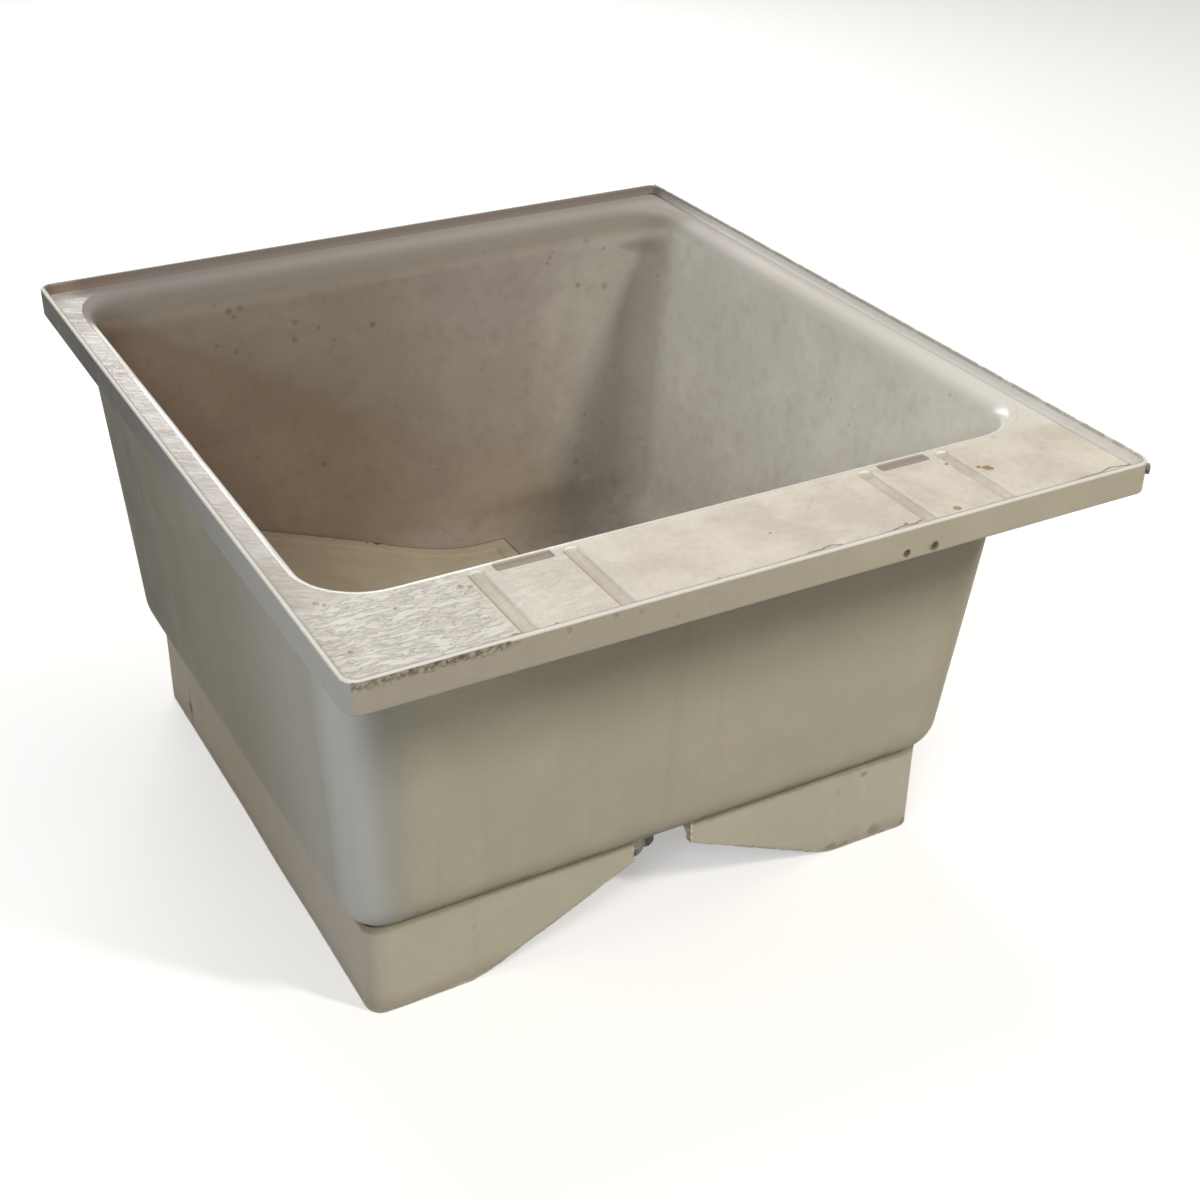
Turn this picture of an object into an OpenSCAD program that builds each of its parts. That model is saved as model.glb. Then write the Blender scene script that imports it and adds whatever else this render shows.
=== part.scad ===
// Mop service sink in fibreglass, in millimetres.
// The origin is on the ground, under the middle of the rim. X runs left to right,
// Y runs from the front deck to the back, and Z is up.

/* [Rim] */
// Width of the rim, left to right
rim_w = 610; // [580:1:640]
// Depth of the rim, front to back
rim_d = 694; // [660:1:730]
// Height of the lip's top above the ground
total_h = 394; // [385:1:430]
// Height of the lip above the ledge inside it
lip_h = 8; // [6:0.5:12]
// Thickness of the lip and the apron below it
lip_t = 3.5; // [3:0.25:5]
// Height of the apron, from the lip's top to its lower edge
apron_h = 24; // [22:0.5:30]
// Outer corner radius of the rim
rim_r = 11; // [8:0.5:20]

/* [Bowl] */
// Distance from the rim's side edges to the bowl's outer side walls at the top
side_inset = 20.5; // [19:0.5:30]
// Distance from the rim's front edge to the bowl's outer front wall at the top
deck_inset = 99; // [96:0.5:115]
// Distance from the rim's back edge to the bowl's outer back wall at the top
back_inset = 33.5; // [30:0.5:45]
// Depth of the bowl's underside below the lip's top
bowl_h = 320; // [300:1:325]
// Thickness of the moulded walls, ledge and floor
wall_t = 5; // [4:0.25:6]
// Draft of the left wall, in degrees
draft_left = 3.5; // [2:0.25:5]
// Draft of the right wall, in degrees
draft_right = 5; // [3:0.25:6]
// Draft of the front wall, in degrees
draft_front = 4.7; // [3:0.1:6]
// Draft of the back wall, in degrees
draft_back = 3.4; // [2:0.1:5]
// Outer radius of the bowl's upright corners
corner_r = 28; // [22:1:36]
// Outer radius of the edge between the bowl's walls and its underside
foot_r = 36; // [28:1:44]
// Radius in plan of the bowl's mouth at its corners
mouth_r = 46; // [36:1:56]
// Radius of the round-over between the ledge and the bowl, at the front and the left
edge_r = 6; // [5.5:0.25:9]
// Radius of the wider round-over at the right ledge
right_roll_r = 16; // [8:0.5:18]
// Radius of the wide round-over at the back ledge
back_roll_r = 28; // [12:1:31]

/* [Deck] */
// Distance between the middles of the two pairs of grooves
pair_spacing = 302; // [260:1:320]
// Distance between the two grooves of a pair
groove_gap = 68; // [60:1:80]
// Offset of the pairs from the middle of the rim
pair_shift = 5.5; // [-8:0.5:8]
// Width of a groove at the deck's surface
groove_w = 12; // [9:0.5:14]
// Depth of a groove
groove_depth = 3.5; // [2.5:0.25:4.5]
// Distance from the bowl's outer front wall back to the grooves' far ends
groove_setback = 3; // [2:0.5:12]
// Length of a pocket, along the rim
pocket_l = 42; // [30:1:48]
// Width of a pocket
pocket_w = 10; // [7:0.5:12]
// Depth of a pocket
pocket_depth = 1.5; // [1:0.25:4]
// Radius of the two screw holes in the front apron
screw_hole_r = 2.5; // [2:0.25:3.5]
// Distance between the two screw holes
screw_spacing = 23; // [18:0.5:30]
// Distance of the screw holes' middle from the middle of the rim
screw_x = 102; // [60:1:140]
// Distance of the screw holes below the lip's top
screw_drop = 18.5; // [17:0.25:19]

/* [Base] */
// Distance from the bowl's wall line to the base skirt's outer face
skirt_inset = 11; // [8:0.5:16]
// Thickness of the base skirt
skirt_t = 5; // [4:0.25:7]
// Outer corner radius of the base skirt
skirt_r = 14; // [10:1:20]
// Length of each front foot, along the rim
foot_l = 92; // [70:1:110]
// Width of the notch for the waste pipe in the front skirt
notch_w = 52; // [46:1:64]
// Distance of the notch's lower corners below the bowl's underside
notch_drop = 13; // [10:0.5:20]
// Depth that the front skirt's middle panel is set back
panel_setback = 1.2; // [0.6:0.1:1.8]
// Width of the laminate fillet that bonds the skirt to the bowl
bond_w = 30; // [24:1:36]
// Thickness of that laminate
bond_t = 4; // [3:0.25:5]
// Thickness of the stiffener board under the floor
stiffener_t = 9; // [6:0.5:12]
// Gap between the bond laminate and the stiffener board
stiffener_gap = 6; // [4:1:12]

/* [Sloping board] */
// Slope of the board's straight part, in degrees
board_slope = 20; // [17:0.5:22]
// Distance from the drain's middle to the end of the board's bend
toe_reach = 72; // [66:1:84]
// Thickness of the board
board_t = 3; // [2.5:0.25:4]
// Radius of the bend between the slope and the low edge
bend_r = 280; // [200:5:300]
// Length of the board's flat part, from the bend to the low edge
toe_l = 27; // [25:1:40]
// Clearance between the board and the bowl's walls
board_clearance = 1.5; // [1:0.25:3]
// Width of the raised border along the board's edges
border_w = 16; // [10:1:24]
// Depth of the board's field below its border
field_depth = 1.2; // [0.6:0.1:2]
// Distance of the board's leg from the foot of the left wall
leg_setback = 8; // [4:1:30]
// Width of the water slots in the board's low edge
slot_w = 14; // [8:1:20]
// Length of those slots, in from the edge
slot_l = 26; // [12:1:40]

/* [Drain] */
// Distance from the bowl's outer front wall to the drain, at the floor
drain_setback = 80; // [76:1:120]
// Radius of the drain's flange
flange_r = 45; // [43:1:48]
// Thickness of the flange
flange_t = 4; // [3.5:0.25:6]
// Outer radius of the drain's main thread
thread_r = 28; // [27:0.5:29]
// Radius of the waste outlet tube
tail_r = 20; // [18:0.5:20.5]
// Length of the waste outlet tube below its coupling nut
tail_l = 14; // [8:1:22]
// Radius of the strainer plate
strainer_r = 38; // [36:0.5:40]
// Radius of the strainer's holes
strainer_hole_r = 2.6; // [2:0.1:3]
// Thickness of the strainer plate
strainer_t = 1.5; // [1.2:0.1:2]
// Thickness of the rubber ring under the flange
seal_t = 1.5; // [1:0.25:2.5]
// Thickness of the rubber gasket under the floor
gasket_t = 3; // [2:0.25:4]
// Thickness of the fibre washer
washer_t = 1.5; // [1:0.25:2]
// Height of the locknut
locknut_h = 10; // [8:0.5:11]

/* [Hidden] */

gelcoat = [0.84, 0.81, 0.72];
clean_gelcoat = [0.80, 0.78, 0.68];
laminate = [0.72, 0.70, 0.56];
plywood = [0.66, 0.52, 0.34];
steel = [0.75, 0.76, 0.78];
brass = [0.76, 0.62, 0.32];
black_rubber = [0.12, 0.12, 0.12];
red_fibre = [0.55, 0.26, 0.18];

$fn = 64;
corner_steps = 8;            // flats in a quarter turn of a corner in plan
arc_steps = 5;               // flats in a quarter turn of an edge in section
seat_gap = 0.3;              // gap between a loose piece and its seat
thread_gap = 0.15;           // radial gap in a threaded pair
drain_margin = 3;            // gap round the drain's boss

lip_round = 1.2;             // rounding of the lip's two top edges
ledge_fillet = 2;            // fillet between the ledge and the lip
mouth_blend = 45;            // depth in which the mouth's corners narrow to the walls'

ledge_z = total_h - lip_h;
under_z = total_h - bowl_h;  // the bowl's underside
floor_z = under_z + wall_t;  // the bowl's floor

// Insets of the outer wall line from the rim's left, right, front and back edges
function wall_line(depth, more) = [
    side_inset + depth * tan(draft_left) + more,
    side_inset + depth * tan(draft_right) + more,
    deck_inset + depth * tan(draft_front) + more,
    back_inset + depth * tan(draft_back) + more];

// A rounded rectangle as points, counterclockwise, from its four insets
function ring(z, inset, radius) = [
    for (quarter = [0:3]) for (i = [0:corner_steps])
        let (angle = 90 * (quarter + i / corner_steps),
             right = rim_w / 2 - inset[1] - radius,
             left = inset[0] + radius - rim_w / 2,
             back = rim_d / 2 - inset[3] - radius,
             front = inset[2] + radius - rim_d / 2,
             x = quarter == 0 || quarter == 3 ? right : left,
             y = quarter < 2 ? back : front)
        [x + radius * cos(angle), y + radius * sin(angle), z]];

// A rounded rectangle at the same distance from all four edges of the rim
function rim_ring(z, inset) = ring(z, [inset, inset, inset, inset], max(rim_r - inset, 1));

// A rounded rectangle that follows the bowl's wall at a depth, moved inwards
function wall_ring(depth, more, radius) =
    ring(total_h - depth, wall_line(depth, more), radius);

// Rings of a bowl surface's lower edge, from the underside up to the wall
function foot_rings(depth, more, radius) = [
    for (i = [0:arc_steps])
        let (angle = 90 * i / arc_steps,
             step_in = radius * (1 - sin(angle)),
             step_up = radius * (1 - cos(angle)))
        ring(total_h - depth + step_up,
             wall_line(depth - step_up, more + step_in),
             max(corner_r - more - step_in * corner_share, 4))];
corner_share = 0.35;         // share of the foot's rounding that narrows the corners

function reversed(list) = [for (i = [len(list) - 1 : -1 : 0]) list[i]];

// Radius of the mouth's rounding at a point of a ring: each side has its own, and the
// corners pass from one to the next
function roll_at(i) =
    let (quarter = floor(i / (corner_steps + 1)),
         turned = 180 * (i % (corner_steps + 1)) / corner_steps,
         rolls = [right_roll_r, back_roll_r, edge_r, edge_r],
         share = (1 - cos(turned)) / 2)
    rolls[quarter] * (1 - share) + rolls[(quarter + 1) % 4] * share;

// A ring of the mouth's rounding, from the ledge (turn 0) to the wall (turn 90), on
// the upper surface or on one that lies below it by the skin's thickness
function rolled_ring(turn, skin, more, radius) = [
    for (i = [0 : 4 * corner_steps + 3])
        let (reach = roll_at(i) - skin,
             out = reach * (1 - sin(turn)))
        wall_ring(lip_h + skin + reach * (1 - cos(turn)), more - out, radius + out)[i]];

// The ring halfway between the rounding's foot and the end of the corners' narrowing
function narrowing_ring(more) = [
    for (i = [0 : 4 * corner_steps + 3])
        wall_ring(lip_h + (roll_at(i) + mouth_blend) / 2, wall_t + more,
                  (mouth_r + corner_r - wall_t) / 2)[i]];

// The rings of the bowl's inner surface, from the ledge down to the floor
function inner_rings(more) = concat(
    [for (i = [0:arc_steps]) rolled_ring(90 * i / arc_steps, 0, wall_t + more, mouth_r)],
    [narrowing_ring(more)],
    [wall_ring(lip_h + mouth_blend, wall_t + more, corner_r - wall_t)],
    reversed(foot_rings(bowl_h - wall_t, wall_t + more, foot_r - wall_t)));

// The rings of the outer surface, from the underside up to the ledge's underside
function outer_rings(more) = concat(
    foot_rings(bowl_h, more, foot_r),
    [for (i = [arc_steps : -1 : 0]) rolled_ring(90 * i / arc_steps, wall_t, more, corner_r)]);

// Skins rings in order and closes both ends, or joins the last to the first
module loft(rings, closed = false) {
    n = len(rings[0]);
    m = len(rings);
    points = [for (one = rings) each one];
    last = closed ? m - 1 : m - 2;
    sides = [
        for (j = [0:last]) for (i = [0:n - 1])
            let (a = j * n + i,
                 b = j * n + (i + 1) % n,
                 c = ((j + 1) % m) * n + (i + 1) % n,
                 d = ((j + 1) % m) * n + i)
            each [[a, d, c], [a, c, b]]];
    caps = closed ? [] : [
        [for (i = [0:n - 1]) i],
        [for (i = [n - 1 : -1 : 0]) (m - 1) * n + i]];
    polyhedron(points, concat(sides, caps), convexity = 10);
}

// ---- places derived from the bowl ----

bottom_line = wall_line(bowl_h, 0);
skirt_line = wall_line(bowl_h, skirt_inset);
bowl_mid_x = (bottom_line[0] - bottom_line[1]) / 2;
drain_x = bowl_mid_x;
drain_y = bottom_line[2] + drain_setback - rim_d / 2;
groove_xs = [for (side = [-1, 1]) for (edge = [-1, 1])
             pair_shift + side * pair_spacing / 2 + edge * groove_gap / 2];
pocket_xs = [for (side = [-1, 1]) pair_shift + side * pair_spacing / 2];
groove_r = (groove_w * groove_w / 4 + groove_depth * groove_depth) / (2 * groove_depth);
groove_z = ledge_z + groove_r - groove_depth;
groove_end_y = deck_inset - groove_setback - groove_w / 2 - rim_d / 2;
pocket_y = deck_inset - groove_setback + 2 - pocket_w / 2 - rim_d / 2;

// ---- drain stack, from the floor down ----

seat_r = flange_r + 2;
seat_depth = seal_t + flange_t;
seat_z = floor_z - seat_depth;
boss_r = seat_r + wall_t;
boss_z = seat_z - wall_t;
drain_hole_r = thread_r + 0.5;
gasket_r = thread_r + 12;
nut_top_z = boss_z - gasket_t - washer_t;
nut_bottom_z = nut_top_z - locknut_h;
shank_z = nut_bottom_z - 1;      // where the main thread ends
shank_r = thread_r - 4;          // thread that takes the coupling nut
body_z = shank_z - 9;            // lower end of the drain body
bore_r = thread_r - 6;
basket_seat_z = floor_z - 6;
basket_rim_r = thread_r - 3.4;
tail_seal_t = 2;
tail_flange_t = 2;
tail_wall = 1.5;
tail_relief = 0.3;           // how much slimmer the tube is inside its nut
coupling_lip = 4;
coupling_z = body_z - tail_seal_t - tail_flange_t - coupling_lip;
tail_z = coupling_z - tail_l;

// ---- basin ----

module basin_shell() {
    apron_rings = [
        rim_ring(total_h - lip_h - wall_t, lip_t),
        rim_ring(total_h - apron_h, lip_t),
        rim_ring(total_h - apron_h, 0),
        rim_ring(total_h - lip_round, 0),
        rim_ring(total_h - lip_round * 0.3, lip_round * 0.3),
        rim_ring(total_h, lip_round),
        rim_ring(total_h, lip_t - lip_round),
        rim_ring(total_h - lip_round, lip_t),
        rim_ring(ledge_z + ledge_fillet, lip_t),
        rim_ring(ledge_z + ledge_fillet * 0.3, lip_t + ledge_fillet * 0.3),
        rim_ring(ledge_z, lip_t + ledge_fillet)];
    loft(concat(outer_rings(0), apron_rings, inner_rings(0)));
}

// A round-bottomed groove that runs back from the lip, or the bead of moulding
// below it, from its radius
module groove_form(radius) {
    near_y = lip_t - rim_d / 2;
    for (x = groove_xs) translate([x, near_y, groove_z]) {
        rotate([-90, 0, 0]) cylinder(r = radius, h = groove_end_y - near_y);
        translate([0, groove_end_y - near_y, 0]) sphere(r = radius);
    }
}

// A rounded rectangular pocket, or the pad of moulding below it, grown by a margin
module pocket_form(margin, low, high) {
    round_r = 3 + margin;
    for (x = pocket_xs) translate([x, pocket_y, low]) linear_extrude(high - low)
        for (sx = [-1, 1]) for (sy = [-1, 1]) {
            translate([sx * (pocket_l / 2 - 3), sy * (pocket_w / 2 - 3)]) circle(round_r);
            square([pocket_l - 6, pocket_w + 2 * margin], center = true);
            square([pocket_l + 2 * margin, pocket_w - 6], center = true);
        }
}

module basin() {
    skin = wall_t - 1;
    color(gelcoat) difference() {
        union() {
            basin_shell();
            intersection() {
                groove_form(groove_r + skin);
                translate([-rim_w / 2, lip_t - rim_d / 2 - 1, ledge_z - 20])
                    cube([rim_w, deck_inset, 18]);
            }
            pocket_form(2.5, ledge_z - pocket_depth - skin, ledge_z - 2);
            at_drain(boss_z) cylinder(r = boss_r, h = floor_z - wall_t / 2 - boss_z);
        }
        groove_form(groove_r);
        pocket_form(0, ledge_z - pocket_depth, ledge_z + 1);
        at_drain(seat_z) cylinder(r = seat_r, h = wall_t + seat_depth);
        at_drain(boss_z - 1) cylinder(r = drain_hole_r, h = seat_z - boss_z + 2);
        for (side = [-1, 1])
            translate([screw_x + side * screw_spacing / 2, -rim_d / 2 - 1, total_h - screw_drop])
                rotate([-90, 0, 0]) cylinder(r = screw_hole_r, h = lip_t + 2);
    }
}

// ---- base ----

// The space that the bowl takes up below its wall line
module bowl_space(gap) {
    loft(concat(foot_rings(bowl_h + gap, -gap, foot_r + gap),
                [wall_ring(bowl_h / 2, -gap, corner_r)]));
}

module skirt_tube() {
    top = under_z + foot_r;
    inner = [for (inset = skirt_line) inset + skirt_t];
    difference() {
        loft([ring(0, skirt_line, skirt_r), ring(top, skirt_line, skirt_r)]);
        loft([ring(-1, inner, skirt_r - skirt_t), ring(top + 1, inner, skirt_r - skirt_t)]);
    }
}

// The opening under the front skirt: two slanted edges that rise to the notch
module skirt_arch() {
    left = skirt_line[0] + foot_l - rim_w / 2;
    right = rim_w / 2 - skirt_line[1] - foot_l;
    low = under_z - notch_drop;
    top = under_z + foot_r;
    outline = [
        [left, 0], [bowl_mid_x - notch_w / 2, low], [bowl_mid_x - notch_w / 2, top + 1],
        [bowl_mid_x + notch_w / 2, top + 1], [bowl_mid_x + notch_w / 2, low], [right, 0],
        [right, -1], [left, -1]];
    translate([0, skirt_line[2] + 3 * skirt_t - rim_d / 2, 0]) rotate([90, 0, 0])
        linear_extrude(6 * skirt_t) polygon(outline);
}

module base_skirt() {
    panel_left = skirt_line[0] + foot_l - 4 - rim_w / 2;
    panel_right = rim_w / 2 - skirt_line[1] - foot_l + 4;
    color(gelcoat) difference() {
        skirt_tube();
        skirt_arch();
        bowl_space(0);
        translate([panel_left, skirt_line[2] - 2 - rim_d / 2, -1])
            cube([panel_right - panel_left, 2 + panel_setback, under_z + foot_r + 2]);
    }
}

// The laminate that is built up in the corner between the skirt and the underside
module skirt_bond() {
    inset = skirt_inset + skirt_t;
    corner = skirt_r - skirt_t;
    low = under_z - bond_w;
    function bond_ring(z, more, radius) = ring(z, wall_line(bowl_h, inset + more), radius);
    color(laminate) difference() {
        loft([
            bond_ring(low, 0, corner),
            bond_ring(under_z + foot_r, 0, corner),
            bond_ring(under_z + foot_r, bond_w + foot_r / 2, corner),
            bond_ring(under_z - bond_t, bond_w + foot_r / 2, corner),
            bond_ring(under_z - bond_t, 2 * bond_t, corner),
            bond_ring(under_z - 2 * bond_t, bond_t, corner),
            bond_ring(low, bond_t, corner)], closed = true);
        bowl_space(0);
        skirt_arch();
        at_drain(low - 1) cylinder(r = boss_r + drain_margin, h = bond_w + foot_r);
    }
}

module floor_stiffener() {
    inset = [for (one = wall_line(bowl_h, skirt_inset + skirt_t + bond_w + foot_r / 2))
             one + stiffener_gap];
    color(plywood) difference() {
        loft([ring(under_z - stiffener_t, inset, 12), ring(under_z, inset, 12)]);
        at_drain(under_z - stiffener_t - 1)
            cylinder(r = boss_r + drain_margin, h = stiffener_t + 2);
    }
}

// ---- sloping board ----

toe_z = floor_z + seat_gap + board_t;
toe_x = drain_x + toe_reach;
nose_x = toe_x + toe_l;
bend_high_x = toe_x - bend_r * sin(board_slope);
bend_high_z = toe_z + bend_r * (1 - cos(board_slope));
bend_steps = 8;              // flats in the board's bend

// Where the slope meets the inside of the left wall, which leans by its draft
wall_foot_x = side_inset + total_h * tan(draft_left) + wall_t - rim_w / 2;
board_high_z = (bend_high_z + (bend_high_x - wall_foot_x) * tan(board_slope))
    / (1 - tan(draft_left) * tan(board_slope));
board_left_x = wall_foot_x - board_high_z * tan(draft_left);

// A line at a distance above the board's upper surface, from beyond the left wall
// down the slope and round the bend to an end in the flat part
function board_line(above, end_x) = concat(
    [[board_left_x - wall_t + above * sin(board_slope),
      board_high_z + wall_t * tan(board_slope) + above * cos(board_slope)]],
    [for (i = [bend_steps : -1 : 0])
        let (angle = board_slope * i / bend_steps,
             radius = bend_r - above)
        [toe_x - radius * sin(angle), toe_z + bend_r - radius * cos(angle)]],
    [[end_x, toe_z + above]]);

// A slab between two such lines
module board_slab(upper, lower, end_x) {
    translate([0, rim_d / 2, 0]) rotate([90, 0, 0]) linear_extrude(rim_d)
        polygon(concat(board_line(upper, end_x), reversed(board_line(lower, end_x))));
}

// The space inside the bowl that the board keeps to
module board_room(more) {
    loft(reversed(inner_rings(board_clearance + more)));
}

module sloping_board() {
    leg_x = wall_line(bowl_h - wall_t, foot_r)[0] + leg_setback - rim_w / 2;
    board_mid_y = (bottom_line[2] - bottom_line[3]) / 2;
    slot_pitch = 72;
    color(clean_gelcoat) difference() {
        intersection() {
            union() {
                board_slab(0, -board_t, nose_x);
                intersection() {
                    translate([leg_x, -rim_d / 2, floor_z])
                        cube([board_t, rim_d, board_high_z - floor_z]);
                    board_slab(-board_t / 2, -bowl_h, nose_x);
                }
            }
            board_room(0);
            translate([-rim_w / 2, -rim_d / 2, floor_z + seat_gap])
                cube([rim_w, rim_d, bowl_h]);
        }
        intersection() {
            board_slab(board_t, -field_depth, nose_x - border_w);
            board_room(border_w);
        }
        for (i = [-2:2]) translate([nose_x, board_mid_y + i * slot_pitch, floor_z]) {
            translate([-slot_l, -slot_w / 2, 0]) cube([slot_l + 1, slot_w, 6 * board_t]);
            translate([-slot_l, 0, 0]) cylinder(r = slot_w / 2, h = 6 * board_t);
        }
    }
}

// ---- drain ----

module at_drain(z = 0) {
    translate([drain_x, drain_y, z]) children();
}

module drain_ring(outer, inner, low, high) {
    at_drain(low) difference() {
        cylinder(r = outer, h = high - low);
        translate([0, 0, -1]) cylinder(r = inner, h = high - low + 2);
    }
}

module drain_body() {
    top = floor_z;
    screw_r = strainer_r - 5;
    color(steel) difference() {
        at_drain() rotate_extrude($fn = 96) polygon([
            [bore_r, body_z + 4], [bore_r - 6, body_z + 4], [bore_r - 6, body_z],
            [shank_r, body_z], [shank_r, shank_z], [thread_r, shank_z],
            [thread_r, top - flange_t], [flange_r, top - flange_t],
            [flange_r, top - 1.2], [flange_r - 1.2, top],
            [strainer_r + 0.3, top], [strainer_r + 0.3, top - strainer_t],
            [basket_rim_r + 0.3, top - strainer_t],
            [basket_rim_r + 0.3, basket_seat_z], [bore_r, basket_seat_z]]);
        for (side = [-1, 1])
            at_drain(top - flange_t + 0.8) translate([side * screw_r, 0, 0])
                cylinder(r = 1.7, h = flange_t, $fn = 24);
    }
}

module flange_seal() {
    color(black_rubber) drain_ring(flange_r - 1, thread_r + 0.2, seat_z, seat_z + seal_t);
}

module under_gasket() {
    color(black_rubber) drain_ring(gasket_r, thread_r + 0.2, boss_z - gasket_t, boss_z);
}

module fibre_washer() {
    color(red_fibre) drain_ring(gasket_r - 1, thread_r + 0.2, nut_top_z, nut_top_z + washer_t);
}

module drain_locknut() {
    color(brass) at_drain(nut_bottom_z) difference() {
        intersection() {
            cylinder(r = gasket_r + 1, h = locknut_h, $fn = 6);
            cylinder(r = gasket_r - 1.5, h = locknut_h);
        }
        translate([0, 0, -1]) cylinder(r = thread_r + thread_gap, h = locknut_h + 2);
    }
}

module lint_basket() {
    cup_r = bore_r - 1.5;
    depth = 20;
    sheet = 0.8;
    color(steel) at_drain() difference() {
        rotate_extrude() polygon([
            [0, basket_seat_z - depth], [cup_r, basket_seat_z - depth],
            [cup_r, basket_seat_z], [basket_rim_r, basket_seat_z],
            [basket_rim_r, basket_seat_z + sheet], [cup_r - sheet, basket_seat_z + sheet],
            [cup_r - sheet, basket_seat_z - depth + sheet],
            [0, basket_seat_z - depth + sheet]]);
        for (row = [0:1]) for (i = [0:11])
            rotate([0, 0, 30 * i + 15 * row])
                translate([cup_r - 3, 0, basket_seat_z - depth + 6 + 7 * row])
                    rotate([0, 90, 0]) cylinder(r = 2, h = 6, $fn = 24);
        for (i = [0:5]) rotate([0, 0, 60 * i]) translate([cup_r / 2, 0, basket_seat_z - depth - 1])
            cylinder(r = 2.4, h = 4, $fn = 24);
    }
}

module strainer_plate() {
    pitch = 9;
    field_r = strainer_r - 9;
    reach = ceil(field_r / pitch);
    screw_r = strainer_r - 5;
    color(steel) at_drain(floor_z - strainer_t) difference() {
        cylinder(r = strainer_r, h = strainer_t, $fn = 96);
        for (i = [-reach:reach]) for (j = [-reach:reach])
            let (x = pitch * (i + j / 2), y = pitch * j * sin(60))
            if (norm([x, y]) < field_r) translate([x, y, -1])
                cylinder(r = strainer_hole_r, h = strainer_t + 2, $fn = 24);
        for (side = [-1, 1]) translate([side * screw_r, 0, -1])
            cylinder(r = 1.9, h = strainer_t + 2, $fn = 24);
    }
}

module strainer_screws() {
    screw_r = strainer_r - 5;
    color(steel) for (side = [-1, 1]) at_drain() translate([side * screw_r, 0, 0])
        difference() {
            union() {
                translate([0, 0, floor_z - flange_t + 1]) cylinder(r = 1.6, h = flange_t - 1, $fn = 24);
                translate([0, 0, floor_z]) cylinder(r1 = 3.2, r2 = 2.4, h = 1.2, $fn = 24);
            }
            translate([-3.5, -0.4, floor_z + 0.6]) cube([7, 0.8, 1]);
        }
}

module tail_seal() {
    color(black_rubber)
        drain_ring(shank_r - 0.5, bore_r - 6, body_z - tail_seal_t, body_z);
}

module coupling_nut() {
    height = body_z + 8 - coupling_z;
    color(brass) at_drain(coupling_z) difference() {
        intersection() {
            cylinder(r = shank_r + 8, h = height, $fn = 6);
            cylinder(r = shank_r + 6, h = height);
        }
        translate([0, 0, -1]) cylinder(r = tail_r + 0.4, h = height + 2);
        translate([0, 0, coupling_lip]) cylinder(r = shank_r + thread_gap, h = height);
    }
}

module tailpiece() {
    flange_z = body_z - tail_seal_t - tail_flange_t;
    color(steel) difference() {
        union() {
            at_drain(tail_z) cylinder(r = tail_r, h = tail_l - 1);
            at_drain(tail_z) cylinder(r = tail_r - tail_relief, h = flange_z - tail_z);
            at_drain(flange_z) cylinder(r = shank_r - 0.5, h = tail_flange_t);
        }
        at_drain(tail_z - 1)
            cylinder(r = tail_r - tail_wall, h = flange_z + tail_flange_t - tail_z + 2);
    }
}

basin();
base_skirt();
skirt_bond();
floor_stiffener();
sloping_board();
drain_body();
flange_seal();
under_gasket();
fibre_washer();
drain_locknut();
lint_basket();
strainer_plate();
strainer_screws();
tail_seal();
coupling_nut();
tailpiece();
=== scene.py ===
"""The looks of a moulded fibreglass mop sink: worn gel coat, raw laminate and a dull waste fitting."""

import math

import bmesh
import bpy
import numpy as np
from mathutils import Matrix, Vector


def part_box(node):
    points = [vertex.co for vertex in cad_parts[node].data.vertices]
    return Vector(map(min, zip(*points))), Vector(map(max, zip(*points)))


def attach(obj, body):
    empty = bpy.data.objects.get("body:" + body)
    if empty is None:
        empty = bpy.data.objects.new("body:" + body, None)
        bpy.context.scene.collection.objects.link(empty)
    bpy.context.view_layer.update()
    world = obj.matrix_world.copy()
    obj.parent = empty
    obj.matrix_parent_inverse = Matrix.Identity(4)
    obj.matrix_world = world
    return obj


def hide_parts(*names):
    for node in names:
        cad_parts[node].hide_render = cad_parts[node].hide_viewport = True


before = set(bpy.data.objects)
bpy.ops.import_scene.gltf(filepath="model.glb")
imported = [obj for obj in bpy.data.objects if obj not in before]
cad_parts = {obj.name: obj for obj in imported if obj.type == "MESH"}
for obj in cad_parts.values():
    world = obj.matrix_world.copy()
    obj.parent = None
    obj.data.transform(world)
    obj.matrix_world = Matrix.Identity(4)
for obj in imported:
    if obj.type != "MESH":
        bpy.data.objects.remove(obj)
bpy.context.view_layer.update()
MM = 0.001


def tan_deg(angle):
    return math.tan(math.radians(angle))


# ---- sizes of the moulding, in metres, as the CAD part has them ----

rim_low, rim_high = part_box("basin")
HALF_W = (rim_high.x - rim_low.x) / 2
HALF_D = (rim_high.y - rim_low.y) / 2
TOP = rim_high.z
LIP_H, LIP_T, APRON_H = 8 * MM, 3.5 * MM, 24 * MM
RIM_R = 11 * MM                                 # the rim's corners, seen from above
WALL_T = 5 * MM
BOWL_H = 320 * MM
LEDGE = TOP - LIP_H
UNDER = TOP - BOWL_H
FLOOR = UNDER + WALL_T
CORNER_R, FOOT_R, MOUTH_R = 28 * MM, 36 * MM, 46 * MM
CORNER_SHARE = 0.35                             # how much the corners tighten round the foot
ROLLS = np.array([16, 28, 6, 6]) * MM           # the mouth's rounding: right, back, left, front
MOUTH_BLEND = 45 * MM                           # depth at which the mouth has become the walls
WALL_INSET = np.array([20.5, 20.5, 99.0, 33.5]) * MM    # at the rim: left, right, front, back
DRAFT = np.array([tan_deg(3.5), tan_deg(5.0), tan_deg(4.7), tan_deg(3.4)])

drain_low, drain_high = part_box("drain_body")
DRAIN = (drain_low + drain_high) / 2
FLANGE_R = (drain_high.x - drain_low.x) / 2
SEAT_R, BOSS_R, HOLE_R = FLANGE_R + 2 * MM, FLANGE_R + 7 * MM, 28.5 * MM
SEAT = FLOOR - 5.5 * MM
BOSS = SEAT - WALL_T

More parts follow.
